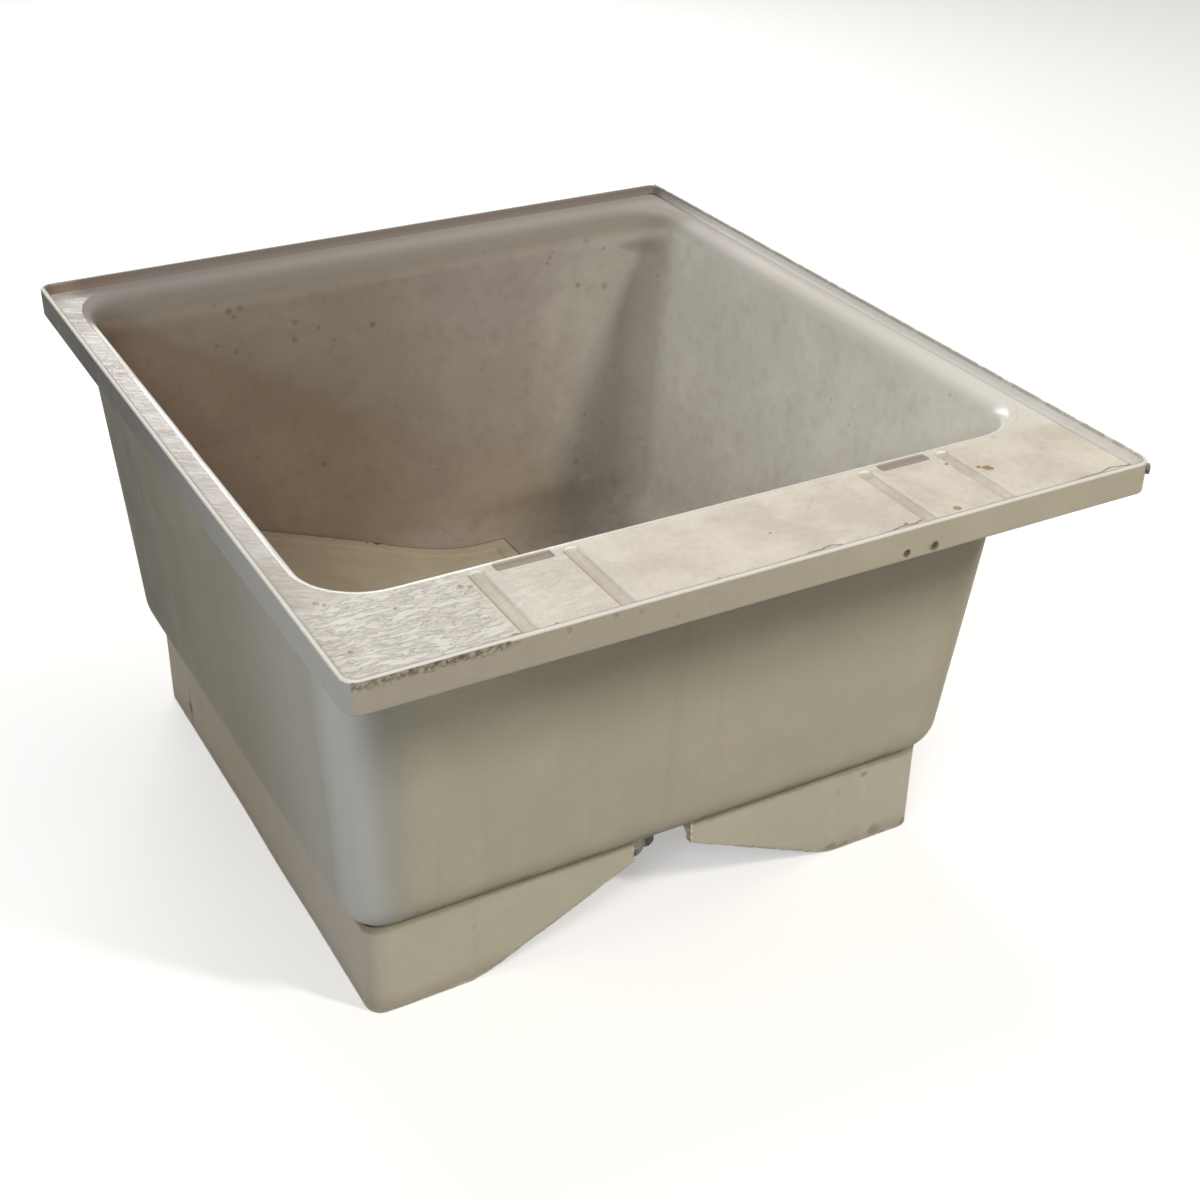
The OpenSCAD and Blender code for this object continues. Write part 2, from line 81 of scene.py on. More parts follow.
DECK_BACK, BEAD_BACK = -HALF_D + 99.5 * MM, -HALF_D + 98 * MM
PAIR_MIDDLES = [(5.5 - 151) * MM, (5.5 + 151) * MM]
GROOVES = [middle + side * 34 * MM for middle in PAIR_MIDDLES for side in (-1, 1)]
GROOVE_W, GROOVE_DEPTH = 12 * MM, 3.5 * MM
GROOVE_R = (GROOVE_W ** 2 / 4 + GROOVE_DEPTH ** 2) / (2 * GROOVE_DEPTH)
GROOVE_END = -HALF_D + 90 * MM
POCKET_L, POCKET_W, POCKET_DEPTH, POCKET_R = 42 * MM, 10 * MM, 1.5 * MM, 2.5 * MM
POCKET_Y = -HALF_D + 93 * MM
SCREW_X, SCREW_SPACING, SCREW_DROP, SCREW_R = 102 * MM, 23 * MM, 18.5 * MM, 2.5 * MM
SCREW_HOLES = [(SCREW_X + side * SCREW_SPACING / 2, -HALF_D, TOP - SCREW_DROP) for side in (-1, 1)]


# ---- node maths ----

class Wire:
    """A socket of a material. Arithmetic on it adds Math nodes."""

    def __init__(self, paint, socket):
        self.paint, self.socket = paint, socket

    def _math(self, operation, *values):
        return self.paint.node("Math", {"operation": operation}, *values)

    def __add__(self, other):
        return self._math("ADD", self, other)

    def __sub__(self, other):
        return self._math("SUBTRACT", self, other)

    def __rsub__(self, other):
        return self._math("SUBTRACT", other, self)

    def __mul__(self, other):
        return self._math("MULTIPLY", self, other)

    __radd__ = __add__
    __rmul__ = __mul__


class Paint:
    """A material that is built node by node around one Principled shader."""

    def __init__(self, name, **constants):
        self.material = bpy.data.materials.new(name)
        self.material.use_nodes = True
        self.tree = self.material.node_tree
        self.shader = self.tree.nodes["Principled BSDF"]
        for socket, value in constants.items():
            self.shader.inputs[socket.replace("_", " ")].default_value = value
        self.place = self.node("TexCoord", {}, output="Object")
        axes = self.node("SeparateXYZ", {}, self.place, output=None)
        self.x, self.y, self.z = (Wire(self, axes.outputs[i]) for i in range(3))

    def node(self, kind, settings, *values, output=0, **named):
        """Adds a node: its settings first, then the values or links of its sockets."""
        made = self.tree.nodes.new("ShaderNode" + kind)
        for setting, value in settings.items():
            setattr(made, setting, value)
        sockets = [s for s in made.inputs if s.enabled]
        by_name = [(made.inputs[name.replace("_", " ")], value) for name, value in named.items()]
        for socket, value in [*zip(sockets, values), *by_name]:
            if isinstance(value, Wire):
                self.tree.links.new(value.socket, socket)
            elif value is not None:
                size = len(socket.default_value) if hasattr(socket.default_value, "__len__") else 0
                socket.default_value = (*value, 1) if size == 4 and len(value) == 3 else value
        if output is None:
            return made
        outputs = {s.name: s for s in made.outputs if s.enabled}
        found = outputs[output] if isinstance(output, str) else list(outputs.values())[output]
        return Wire(self, found)

    def set(self, socket, wire):
        self.tree.links.new(wire.socket, self.shader.inputs[socket])

    def stretched(self, scale, place=None):
        """The place, scaled by axis, for marks that run one way."""
        return self.node("VectorMath", {"operation": "MULTIPLY"}, place or self.place, scale)

    def noise(self, scale, detail=4.0, rough=0.55, place=None, warp=0.0):
        """Clouds about 1 / scale metres across, from 0 to 1; warp bends them."""
        return self.node("TexNoise", {}, Vector=place or self.place, Scale=scale, Detail=detail,
                         Roughness=rough, Distortion=warp, output="Fac")

    def cells(self, scale):
        """The distance to the nearest of many scattered points."""
        return self.node("TexVoronoi", {}, Vector=self.place, Scale=scale, output="Distance")

    def ramp(self, value, low, high):
        """0 below low, 1 above high and smooth between; low may be the larger one."""
        return self.node("MapRange", {"interpolation_type": "SMOOTHSTEP"}, value, low, high, 0.0, 1.0)

    def band(self, value, low, high, soft):
        """1 between low and high, 0 outside them."""
        return self.ramp(value, low - soft, low + soft) * self.ramp(value, high + soft, high - soft)

    def most(self, a, b):
        return self.node("Math", {"operation": "MAXIMUM"}, a, b)

    def away(self, centre, scale=(1, 1, 1)):
        """The distance from a point, with each axis scaled."""
        offset = self.node("VectorMath", {"operation": "SUBTRACT"}, self.place, centre)
        return self.node("VectorMath", {"operation": "LENGTH"}, self.stretched(scale, offset),
                         output="Value")

    def mark(self, name):
        """A value that the mesh carries from point to point."""
        return self.node("Attribute", {"attribute_name": name}, output="Fac")

    def mix(self, share, under, over):
        """One colour laid over another, as far as the share says."""
        return self.node("Mix", {"data_type": "RGBA"}, share, under, over)

    def tint(self, share, under, over):
        """Multiplies a colour by another, as a thin stain does."""
        return self.node("Mix", {"data_type": "RGBA", "blend_type": "MULTIPLY"}, share, under, over)

    def bump(self, height, depth, before=None):
        """Surface relief from a height; depth is what a height of 1 stands for, in metres."""
        return self.node("Bump", {}, Strength=1.0, Distance=depth, Height=height, Normal=before)

    def speckle(self, grain, strength, colour):
        """The very fine dark dust that lies on every old surface."""
        return self.tint(self.ramp(grain, 0.52, 0.70) * strength, colour, (0.72, 0.70, 0.66))

    def finish(self, colour, rough, normal):
        self.set("Base Color", colour)
        self.set("Roughness", rough)
        self.set("Normal", normal)
        return self.material


# ---- meshes made of rings ----

def skin(name, rings, body, marks=None, open_ends=False):
    """A closed surface through rings of points, each ring joined to the next."""
    rings = np.asarray(rings)
    count, size = rings.shape[:2]
    at = np.arange(count * size).reshape(count, size)
    ahead = np.roll(at, -1, axis=0)
    quads = np.stack([at, np.roll(at, -1, axis=1), np.roll(ahead, -1, axis=1), ahead], axis=-1)
    if open_ends:
        quads = quads[:, :-1]
    faces = quads.reshape(-1, 4).tolist()
    if open_ends:
        faces += [at[::-1, 0].tolist(), at[:, -1].tolist()]
    mesh = bpy.data.meshes.new(name)
    mesh.from_pydata(rings.reshape(-1, 3).tolist(), [], faces)
    for mark, values in (marks or {}).items():
        layer = mesh.attributes.new(mark, "FLOAT", "POINT")
        layer.data.foreach_set("value", np.asarray(values, np.float32).reshape(-1))
    tidy_mesh(mesh)
    piece = bpy.data.objects.new(name, mesh)
    bpy.context.scene.collection.objects.link(piece)
    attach(piece, body)
    return piece


def tidy_mesh(mesh):
    """Joins points that coincide, turns the faces outwards and shades them smooth."""
    work = bmesh.new()
    work.from_mesh(mesh)
    bmesh.ops.remove_doubles(work, verts=work.verts, dist=1e-6)
    bmesh.ops.recalc_face_normals(work, faces=work.faces)
    work.to_mesh(mesh)
    work.free()
    mesh.shade_smooth()


def smooth_step(value, low, high):
    t = np.clip((value - low) / (high - low), 0, 1)
    return t * t * (3 - 2 * t)


def wobble(x, y, z):
    """The gentle unevenness of a hand-laid wall, from -1 to 1."""
    return (np.sin(17 * x + 9 * z + 1) * np.sin(13 * y - 11 * z + 2)
            + 0.5 * np.sin(41 * x - 23 * y + 31 * z)) / 1.5


# ---- the basin ----

SIDE_STEPS, ARC_STEPS, LEAD_STEPS = 56, 14, 7   # points along a side, round a corner and between
FIXED_REACH = 212 * MM                          # the deck's middle, where rings share their stations
FIXED_ROOM = 0.985                              # what they may take of a ring's straight front


def deck_stations():
    """Places along the front at which every ring has a point: close together at the grooves."""
    places = list(np.arange(-FIXED_REACH, FIXED_REACH + MM, 6 * MM))
    for groove in GROOVES:
        places = [x for x in places if abs(x - groove) > 10 * MM]
        places += list(groove + np.linspace(-9.5, 9.5, 20) * MM)
    for middle in PAIR_MIDDLES:
        for end in (-1, 1):
            edge = middle + end * POCKET_L / 2
            places = [x for x in places if abs(x - edge) > 4 * MM]
            places += list(edge + np.linspace(-3.5, 3.5, 9) * MM)
    return np.array(sorted(places))


DECK_X = deck_stations()


def outline(inset, radius, z):
    """A rounded rectangle as points, counterclockwise, from its insets: left, right, front, back."""
    left, right = -HALF_W + inset[0], HALF_W - inset[1]
    front, back = -HALF_D + inset[2], HALF_D - inset[3]
    along = np.linspace(0, 1, SIDE_STEPS + 2)[1:-1]
    lead = np.linspace(0, 1, LEAD_STEPS + 2)[1:-1]
    x0, x1, y0, y1 = left + radius, right - radius, front + radius, back - radius
    fixed = np.where(DECK_X < 0, DECK_X * min(1, -FIXED_ROOM * x0 / FIXED_REACH),
                     DECK_X * min(1, FIXED_ROOM * x1 / FIXED_REACH))

    def arc(cx, cy, start):
        angle = np.radians(start + np.linspace(0, 90, ARC_STEPS + 1))
        return np.stack([cx + radius * np.cos(angle), cy + radius * np.sin(angle)], axis=1)

    def line(xs, ys):
        return np.stack(np.broadcast_arrays(xs, ys), axis=1)

    points = np.concatenate([
        line(right, y0 + along * (y1 - y0)), arc(x1, y1, 0),
        line(x1 - along * (x1 - x0), back), arc(x0, y1, 90),
        line(left, y1 - along * (y1 - y0)), arc(x0, y0, 180),
        line(x0 + lead * (fixed[0] - x0), front), line(fixed, front),
        line(fixed[-1] + lead * (x1 - fixed[-1]), front), arc(x1, y0, 270)])
    return np.column_stack([points, np.full(len(points), z)])


def wall_outline(depth, more, radius):
    """The walls' outline at a depth below the rim, more inwards by a distance."""
    return outline(WALL_INSET + depth * DRAFT + more, radius, TOP - depth)


def mouth_roll():
    """The mouth's rounding at each point of an outline: each side has its own, blended at the corners."""
    near, far = outline(np.zeros(4), 40 * MM, 0), outline(np.full(4, -MM), 41 * MM, 0)
    away = (far - near)[:, :2] / MM
    turn = (np.degrees(np.arctan2(away[:, 1], away[:, 0])) % 360) / 90
    side = np.minimum(turn.astype(int), 3)
    share = (1 - np.cos(np.pi * (turn - side))) / 2
    return ROLLS[side] * (1 - share) + ROLLS[(side + 1) % 4] * share


MOUTH_ROLL = mouth_roll()


def wall_at(depth, more, radius):
    """The walls' outline with a depth of its own at each point."""
    levels = np.linspace(LIP_H, LIP_H + MOUTH_BLEND + MM, 40)
    stack = np.array([wall_outline(level, more, radius) for level in levels])
    at = np.clip((depth - LIP_H) / (levels[1] - levels[0]), 0, len(levels) - 1.001)
    low = at.astype(int)
    share, point = (at - low)[:, None], np.arange(len(low))
    return stack[low, point] * (1 - share) + stack[low + 1, point] * share


def rolled(turn, below, more, radius):
    """A ring of the mouth's rounding, from the ledge (turn 0) to the wall, on or below the surface."""
    reach = MOUTH_ROLL - below
    out = reach * (1 - math.sin(turn))
    ring = wall_at(LIP_H + below + reach * (1 - math.cos(turn)), more, radius)
    wider = wall_at(LIP_H + below + reach * (1 - math.cos(turn)), more - MM, radius + MM)
    return ring + (wider - ring) * (out / MM)[:, None]


def rim_outline(inset, z):
    """The rim's outline, drawn in by a distance."""
    return outline(np.full(4, inset), max(RIM_R - inset, 1 * MM), z)


def round_drain(ring, radius, z):
    """A circle round the drain, with its points in the same directions as a ring's."""
    angle = np.arctan2(ring[:, 1] - DRAIN.y, ring[:, 0] - DRAIN.x)
    return np.column_stack([DRAIN.x + radius * np.cos(angle), DRAIN.y + radius * np.sin(angle),
                            np.full(len(ring), z)])


def foot(depth, more, radius, steps=12):
    """Rings of the rounded edge between floor and wall, from the flat upwards."""
    rings = []
    for angle in np.linspace(0, math.pi / 2, steps):
        step_in = radius * (1 - math.sin(angle))
        step_up = radius * (1 - math.cos(angle))
        corner = max(CORNER_R - more - step_in * CORNER_SHARE, 4 * MM)
        rings.append(wall_outline(depth - step_up, more + step_in, corner))
    return rings


def blend_rings(first, last, steps):
    """The rings between two others, without them."""
    return [first + (last - first) * share for share in np.linspace(0, 1, steps + 2)[1:-1]]


def deck_relief(x, y):
    """How far the deck's surface lies below the ledge, in the grooves and the pockets."""
    depth, edge = np.zeros_like(x), 0.25 * MM
    for groove in GROOVES:
        off = np.hypot(x - groove, np.maximum(y - GROOVE_END, 0))
        hollow = np.sqrt(np.maximum(GROOVE_R ** 2 - off ** 2, 0)) - GROOVE_R + GROOVE_DEPTH
        depth = np.maximum(depth, (hollow + np.sqrt(hollow ** 2 + edge ** 2)) / 2 * (off < GROOVE_W))
    return np.maximum(depth, POCKET_DEPTH * pocket_share(x, y))


def pocket_share(x, y):
    """1 in the floor of a pocket, 0 outside it."""
    share = np.zeros_like(x)
    for middle in PAIR_MIDDLES:
        over_x = np.abs(x - middle) - POCKET_L / 2 + POCKET_R
        over_y = np.abs(y - POCKET_Y) - POCKET_W / 2 + POCKET_R
        outside = np.hypot(np.maximum(over_x, 0), np.maximum(over_y, 0)) - POCKET_R
        share = np.maximum(share, smooth_step(outside, 0.3 * MM, -1.0 * MM))
    return share


def basin_rings():
    """All the rings of the moulding, from the drain's underside round the rim to the drain's seat,
    with the zone that each belongs to."""
    zones, rings = [], []

    def add(zone, more):
        rings.extend(more)
        zones.extend([zone] * len(more))

    outer_foot = foot(BOWL_H, 0, FOOT_R)
    first = outer_foot[0]
    add("under", [round_drain(first, HOLE_R, BOSS), round_drain(first, BOSS_R - MM, BOSS),
                  round_drain(first, BOSS_R, BOSS + MM), round_drain(first, BOSS_R, UNDER)])
    add("under", blend_rings(rings[-1], first, 8))
    add("outer", outer_foot)
    wall_top = LIP_H + MOUTH_BLEND
    add("outer", [wall_outline(depth, 0, CORNER_R)
                  for depth in np.linspace(BOWL_H - FOOT_R, wall_top, 24)[1:]])
    add("outer", [wall_at(wall_top + (LIP_H + MOUTH_ROLL - wall_top) * share, 0, CORNER_R)
                  for share in np.linspace(0, 1, 5)[1:-1]])
    fillet = [rolled(turn, WALL_T, 0, CORNER_R) for turn in np.linspace(math.pi / 2, 0, 8)]
    add("under", fillet)
    ledge_under = LEDGE - WALL_T
    inner_apron = rim_outline(LIP_T, ledge_under)
    add("under", blend_rings(fillet[-1], inner_apron, 26))
    low = TOP - APRON_H
    add("under", [rim_outline(LIP_T, z) for z in np.linspace(ledge_under, low + MM, 5)])
    add("apron", [rim_outline(LIP_T - 0.5 * MM, low + 0.3 * MM), rim_outline(LIP_T / 2, low),
                  rim_outline(0.5 * MM, low + 0.2 * MM), rim_outline(0.1 * MM, low + 0.7 * MM)])
    add("apron", [rim_outline(0, z) for z in np.linspace(low + 1.5 * MM, TOP - 1.6 * MM, 16)])
    add("lip", [rim_outline(1.4 * MM * (1 - math.cos(a)), TOP - 1.4 * MM * (1 - math.sin(a)))
                for a in np.linspace(0, math.pi / 2, 6)])
    add("lip", [rim_outline(LIP_T - 1.2 * MM * math.cos(a), TOP - 1.2 * MM * (1 - math.sin(a)))
                for a in np.linspace(math.pi / 2, 0, 5)])
    fillet_r = 2.5 * MM
    add("lip", [rim_outline(LIP_T + fillet_r * (1 - math.cos(a)), LEDGE + fillet_r * (1 - math.sin(a)))
                for a in np.linspace(0, math.pi / 2, 6)])
    mouth = [rolled(turn, 0, WALL_T, MOUTH_R) for turn in np.linspace(0, math.pi / 2, 12)]
    inner_lip = rings[-1]
    across = np.concatenate([np.linspace(0, 0.78, 22)[1:], np.linspace(0.80, 0.985, 26)])
    add("ledge", [inner_lip + (mouth[0] - inner_lip) * share for share in across])
    add("mouth", mouth)
    for share in np.linspace(0, 1, 8)[1:]:
        radius = MOUTH_R + (CORNER_R - WALL_T - MOUTH_R) * smooth_step(share, 0, 1)
        depth = LIP_H + MOUTH_ROLL + (MOUTH_BLEND - MOUTH_ROLL) * share
        add("inner", [wall_at(depth, WALL_T, radius)])
    inner_foot = foot(BOWL_H - WALL_T, WALL_T, FOOT_R - WALL_T)[::-1]
    add("inner", [wall_outline(depth, WALL_T, CORNER_R - WALL_T)
                  for depth in np.linspace(LIP_H + MOUTH_BLEND, BOWL_H - FOOT_R, 32)[1:-1]])
    add("inner", inner_foot)
    last = inner_foot[-1]
    seat_edge = round_drain(last, SEAT_R + 0.6 * MM, FLOOR)
    add("floor", blend_rings(last, seat_edge, 22))
    add("floor", [seat_edge, round_drain(last, SEAT_R, FLOOR - 0.6 * MM), round_drain(last, SEAT_R, SEAT),
                  round_drain(last, HOLE_R, SEAT)])
    return np.array(rings), np.array(zones)


def shape_deck(rings, zones):
    """Presses the grooves and pockets into the ledge, and their beads out of its underside."""
    x, y = rings[..., 0], rings[..., 1]
    relief = deck_relief(x, y) * (np.abs(x) < FIXED_REACH)
    on_deck = (zones == "ledge")[:, None] & (y < DECK_BACK)
    below = ((zones == "under")[:, None] & (rings[..., 2] > LEDGE - WALL_T - 0.1 * MM)
             & (y < BEAD_BACK) & (y > -HALF_D + LIP_T + MM))
    rings[..., 2] -= np.where(on_deck, relief, 0) + np.where(below, relief * 0.9, 0)
    groove_lip = (zones == "lip")[:, None] & (rings[..., 2] < LEDGE + 2 * MM) & (y < -HALF_D + 8 * MM)
    rings[..., 2] -= np.where(groove_lip, relief * smooth_step(rings[..., 2], LEDGE + 2 * MM, LEDGE), 0)
    return relief * on_deck


def wave_walls(rings, zones):
    """Gives the drawn walls and the ledge the slight unevenness of a hand-laid moulding."""
    wave = wobble(rings[..., 0], rings[..., 1], rings[..., 2]) * 0.35 * MM
    inward = -np.sign(rings[..., :2])
    nearest = np.abs(rings[..., 0]) / HALF_W > np.abs(rings[..., 1]) / HALF_D
    soft = np.isin(zones, ["outer", "inner"])[:, None] * smooth_step(
        rings[..., 2], UNDER + 8 * MM, UNDER + 60 * MM)
    rings[..., 0] += inward[..., 0] * wave * soft * nearest
    rings[..., 1] += inward[..., 1] * wave * soft * ~nearest


def make_basin():
    """The moulding, with the zone masks that its finish needs."""
    rings, zones = basin_rings()
    pocket = pocket_share(rings[..., 0], rings[..., 1]) * (zones == "ledge")[:, None]
    relief = shape_deck(rings, zones)
    wave_walls(rings, zones)
    shape = rings.shape[:2]
    inside = np.isin(zones, ["inner", "floor"]).astype(float)
    inside[zones == "mouth"] = np.linspace(0, 1, int((zones == "mouth").sum()))
    marks = {"inside": np.broadcast_to(inside[:, None], shape)}
    for zone in ("ledge", "lip", "apron", "mouth", "under"):
        marks[zone] = np.broadcast_to((zones == zone)[:, None], shape)
    marks["relief"], marks["pocket"] = relief / GROOVE_DEPTH, pocket
    piece = skin("basin_moulding", rings, "sink", marks)
    drill_apron(piece)
    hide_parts("basin")
    return piece


def drill_apron(piece):
    """Cuts the two screw holes through the front apron; the second one has a broken edge."""
    for hole, is_broken in zip(SCREW_HOLES, (False, True)):
        work = bmesh.new()
        bmesh.ops.create_cone(work, cap_ends=True, segments=28, radius1=SCREW_R, radius2=SCREW_R,
                              depth=16 * MM)
        if is_broken:
            for i, point in enumerate(work.verts):
                point.co.xy *= 1 + 0.16 * math.sin(2.3 * i) + 0.1 * math.sin(5.1 * i)
        bmesh.ops.rotate(work, verts=work.verts, matrix=Matrix.Rotation(math.pi / 2, 3, "X"))
        bmesh.ops.translate(work, verts=work.verts, vec=hole)
        cut_with(piece, work)


def cut_with(piece, work):
    """Takes the shape of a bmesh out of a piece."""
    mesh = bpy.data.meshes.new("cutter")
    work.to_mesh(mesh)
    work.free()
    cutter = bpy.data.objects.new("cutter", mesh)
    bpy.context.scene.collection.objects.link(cutter)
    cut = piece.modifiers.new("hole", "BOOLEAN")
    cut.object, cut.operation, cut.solver = cutter, "DIFFERENCE", "MANIFOLD"
    keep_modifiers(piece)
    bpy.data.objects.remove(cutter)
    bpy.data.meshes.remove(mesh)


def keep_modifiers(piece):
    """Makes what the modifiers do part of the mesh."""
    bpy.context.view_layer.update()
    seen = piece.evaluated_get(bpy.context.evaluated_depsgraph_get())
    made = bpy.data.meshes.new_from_object(seen)
    old, piece.data = piece.data, made
    piece.modifiers.clear()
    bpy.data.meshes.remove(old)


# ---- the base skirt ----

SKIRT = WALL_INSET + BOWL_H * DRAFT + 11 * MM    # its outer face: left, right, front, back
SKIRT_T, SKIRT_R = 5 * MM, 14 * MM
SKIRT_LEFT, SKIRT_RIGHT = -HALF_W + SKIRT[0], HALF_W - SKIRT[1]
SKIRT_FRONT, SKIRT_BACK = -HALF_D + SKIRT[2], HALF_D - SKIRT[3]
FOOT_L, SETBACK = 92 * MM, 1.2 * MM
NOTCH_LEFT, NOTCH_RIGHT = DRAIN.x - 26 * MM, DRAIN.x + 26 * MM
NOTCH_LOW = UNDER - 13 * MM                      # where the slanted edges meet the notch
SKIRT_TOP_OUT, SKIRT_TOP_IN = UNDER + 10.6 * MM, UNDER + 6.6 * MM


def skirt_path():
    """Points of the skirt's outer face with their directions outwards, from the notch's right edge
    all the way round to its left edge."""
    x0, x1 = SKIRT_LEFT + SKIRT_R, SKIRT_RIGHT - SKIRT_R
    y0, y1 = SKIRT_FRONT + SKIRT_R, SKIRT_BACK - SKIRT_R

    def run(start, stop, outwards, step):
        count = max(round(math.dist(start, stop) / step), 2)
        share = np.linspace(0, 1, count, endpoint=False)[:, None]
        points = np.array(start) + share * (np.array(stop) - np.array(start))
        return np.column_stack([points, np.tile(outwards, (count, 1))])

    def turn(x, y, start):
        angle = np.radians(start + np.linspace(0, 90, 16, endpoint=False))
        facing = np.column_stack([np.cos(angle), np.sin(angle)])
        return np.column_stack([np.array([x, y]) + SKIRT_R * facing, facing])

    return np.concatenate([
        run((NOTCH_RIGHT, SKIRT_FRONT), (x1, SKIRT_FRONT), (0, -1), 2 * MM), turn(x1, y0, 270),
        run((SKIRT_RIGHT, y0), (SKIRT_RIGHT, y1), (1, 0), 6 * MM), turn(x1, y1, 0),
        run((x1, SKIRT_BACK), (x0, SKIRT_BACK), (0, 1), 6 * MM), turn(x0, y1, 90),
        run((SKIRT_LEFT, y1), (SKIRT_LEFT, y0), (-1, 0), 5 * MM), turn(x0, y0, 180),
        run((x0, SKIRT_FRONT), (NOTCH_LEFT, SKIRT_FRONT), (0, -1), 2 * MM),
        [[NOTCH_LEFT, SKIRT_FRONT, 0, -1]]])


def skirt_low(x, y):
    """Height of the skirt's lower edge: level on the feet, slanted from them up to the notch."""
    left_rise = (x - SKIRT_LEFT - FOOT_L) / (NOTCH_LEFT - SKIRT_LEFT - FOOT_L)
    right_rise = (SKIRT_RIGHT - FOOT_L - x) / (SKIRT_RIGHT - FOOT_L - NOTCH_RIGHT)
    rise = np.where(x < DRAIN.x, left_rise, right_rise) * NOTCH_LOW
    rise = np.where(y < SKIRT_FRONT + MM, rise, -60 * MM)
    soft = 3 * MM
    rough = 0.12 * MM * (np.sin(310 * x) + np.sin(177 * x + 40 * y) + np.sin(533 * x - 211 * y))
    return np.maximum((rise + np.sqrt(rise ** 2 + soft ** 2)) / 2 + rough * smooth_step(rise, 0, 6 * MM), 0)


def make_skirt():
    """The base strip: one wall swept round its path, wavy outside and raw along its lower edge."""
    path = skirt_path()
    x, y, facing = path[:, 0], path[:, 1], path[:, 2:]
    low = skirt_low(x, y)
    panel_left, panel_right = SKIRT_LEFT + FOOT_L - 4 * MM, SKIRT_RIGHT - FOOT_L + 4 * MM
    panel = (smooth_step(x, panel_left - 5 * MM, panel_left + 3 * MM)
             * smooth_step(x, panel_right + 5 * MM, panel_right - 3 * MM) * (y < SKIRT_FRONT + MM))
    loops, cut = [], []

    def add(depth, height, is_cut=0.0):
        spot = path[:, :2] - facing * np.reshape(depth, (-1, 1))
        loops.append(np.column_stack([spot, height]))
        cut.append(np.full(len(path), is_cut))

    edge = 0.9 * MM
    for share in np.linspace(0, 1, 16):
        height = (low + edge) + share * (SKIRT_TOP_OUT - low - edge)
        wave = 0.4 * MM * (1 + wobble(x * 2, y * 2, height * 2)) * smooth_step(share, 1.0, 0.8)
        add(panel * SETBACK + wave, height, 0.6 * (share == 0))
    for share in np.linspace(1, 0, 9):
        add(SKIRT_T, (low + edge) + share * (SKIRT_TOP_IN - low - edge), 0.6 * (share == 0))
    add(SKIRT_T - edge, low, 1.0)
    add(panel * SETBACK + 0.4 * MM + edge, low, 1.0)
    cut = np.array(cut)
    cut[:, [0, -1]] = 1.0
    piece = skin("base_strip", loops, "sink", {"cut": cut}, open_ends=True)
    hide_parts("base_skirt")
    return piece


# ---- the sloping board ----

BOARD_T, BEND_R, CLEARANCE, SEAT_GAP = 3 * MM, 280 * MM, 1.5 * MM, 0.3 * MM
SLOPE = math.radians(20)
TOE_L, BORDER, FIELD_DEPTH = 27 * MM, 16 * MM, 1.2 * MM
TOE_X, TOE_Z = DRAIN.x + 72 * MM, FLOOR + SEAT_GAP + BOARD_T
NOSE_X = TOE_X + TOE_L
BEND_HIGH_X = TOE_X - BEND_R * math.sin(SLOPE)
BEND_RISE = BEND_R * (1 - math.cos(SLOPE))
LEG_X, SLOT_W, SLOT_L, SLOT_PITCH = -221.2 * MM, 14 * MM, 26 * MM, 72 * MM


def board_line():
    """Places down the board's upper surface, each with its tilt: straight, bent, then level."""
    start = -HALF_W
    for _ in range(8):
        height = TOE_Z + BEND_RISE + (BEND_HIGH_X - start) * math.tan(SLOPE)
        start = -HALF_W + WALL_INSET[0] + (TOP - height) * DRAFT[0] + WALL_T + CLEARANCE
    near = start + np.array([0, 0.5, 1.2, 2.2, 3.5, 5.2, 7.4, 10, 13, 14.6, 15.2, 15.8, 16.4, 17, 18.5,
                             21, 24]) * MM
    straight = np.concatenate([near, np.linspace(near[-1], BEND_HIGH_X, 34)[1:]])
    rows = [(x, TOE_Z + BEND_RISE + (BEND_HIGH_X - x) * math.tan(SLOPE), SLOPE) for x in straight]
    for angle in np.linspace(SLOPE, 0, 26)[1:]:
        rows.append((TOE_X - BEND_R * math.sin(angle), TOE_Z + BEND_R * (1 - math.cos(angle)), angle))
    level = NOSE_X - np.array([23, 20, 17.5, 16.8, 16.2, 15.6, 15, 13, 10, 6, 3, 1, 0]) * MM
    rows += [(x, TOE_Z, 0.0) for x in level]
    return np.array(rows)


def room(x, z):
    """How far the board may reach to the front, the back and the left, at a place in the bowl."""
    above = np.clip((z - FLOOR) / (FOOT_R - WALL_T), 0, 1)
    cove = (FOOT_R - WALL_T) * (1 - np.sqrt(1 - (1 - above) ** 2))
    inset = [WALL_INSET[i] + (TOP - z) * DRAFT[i] + WALL_T + CLEARANCE + cove for i in range(4)]
    corner = CORNER_R - WALL_T - CLEARANCE
    over = np.clip(-HALF_W + inset[0] + corner - x, 0, corner)
    cut = corner - np.sqrt(corner ** 2 - over ** 2)
    return -HALF_D + inset[2] + cut, HALF_D - inset[3] - cut, -HALF_W + inset[0]


def board_rows(line, above, from_edge):
    """Points of one side of the board: a row across for each place on its line."""
    x = line[:, 0] + above * np.sin(line[:, 2])
    z = line[:, 1] + above * np.cos(line[:, 2])
    front, back, left = room(x, z)
    x = np.maximum(x, left)
    width = (back - front)[None, :]
    near = np.minimum(from_edge[:, None], width * 0.25)
    between = np.linspace(0, 1, 24)[1:-1, None]
    ends = np.concatenate([near, near[-1] + between * (width - 2 * near[-1]), width - near[::-1]])
    return np.stack([np.broadcast_to(x, ends.shape), front[None, :] + ends,
                     np.broadcast_to(z, ends.shape)], axis=-1)


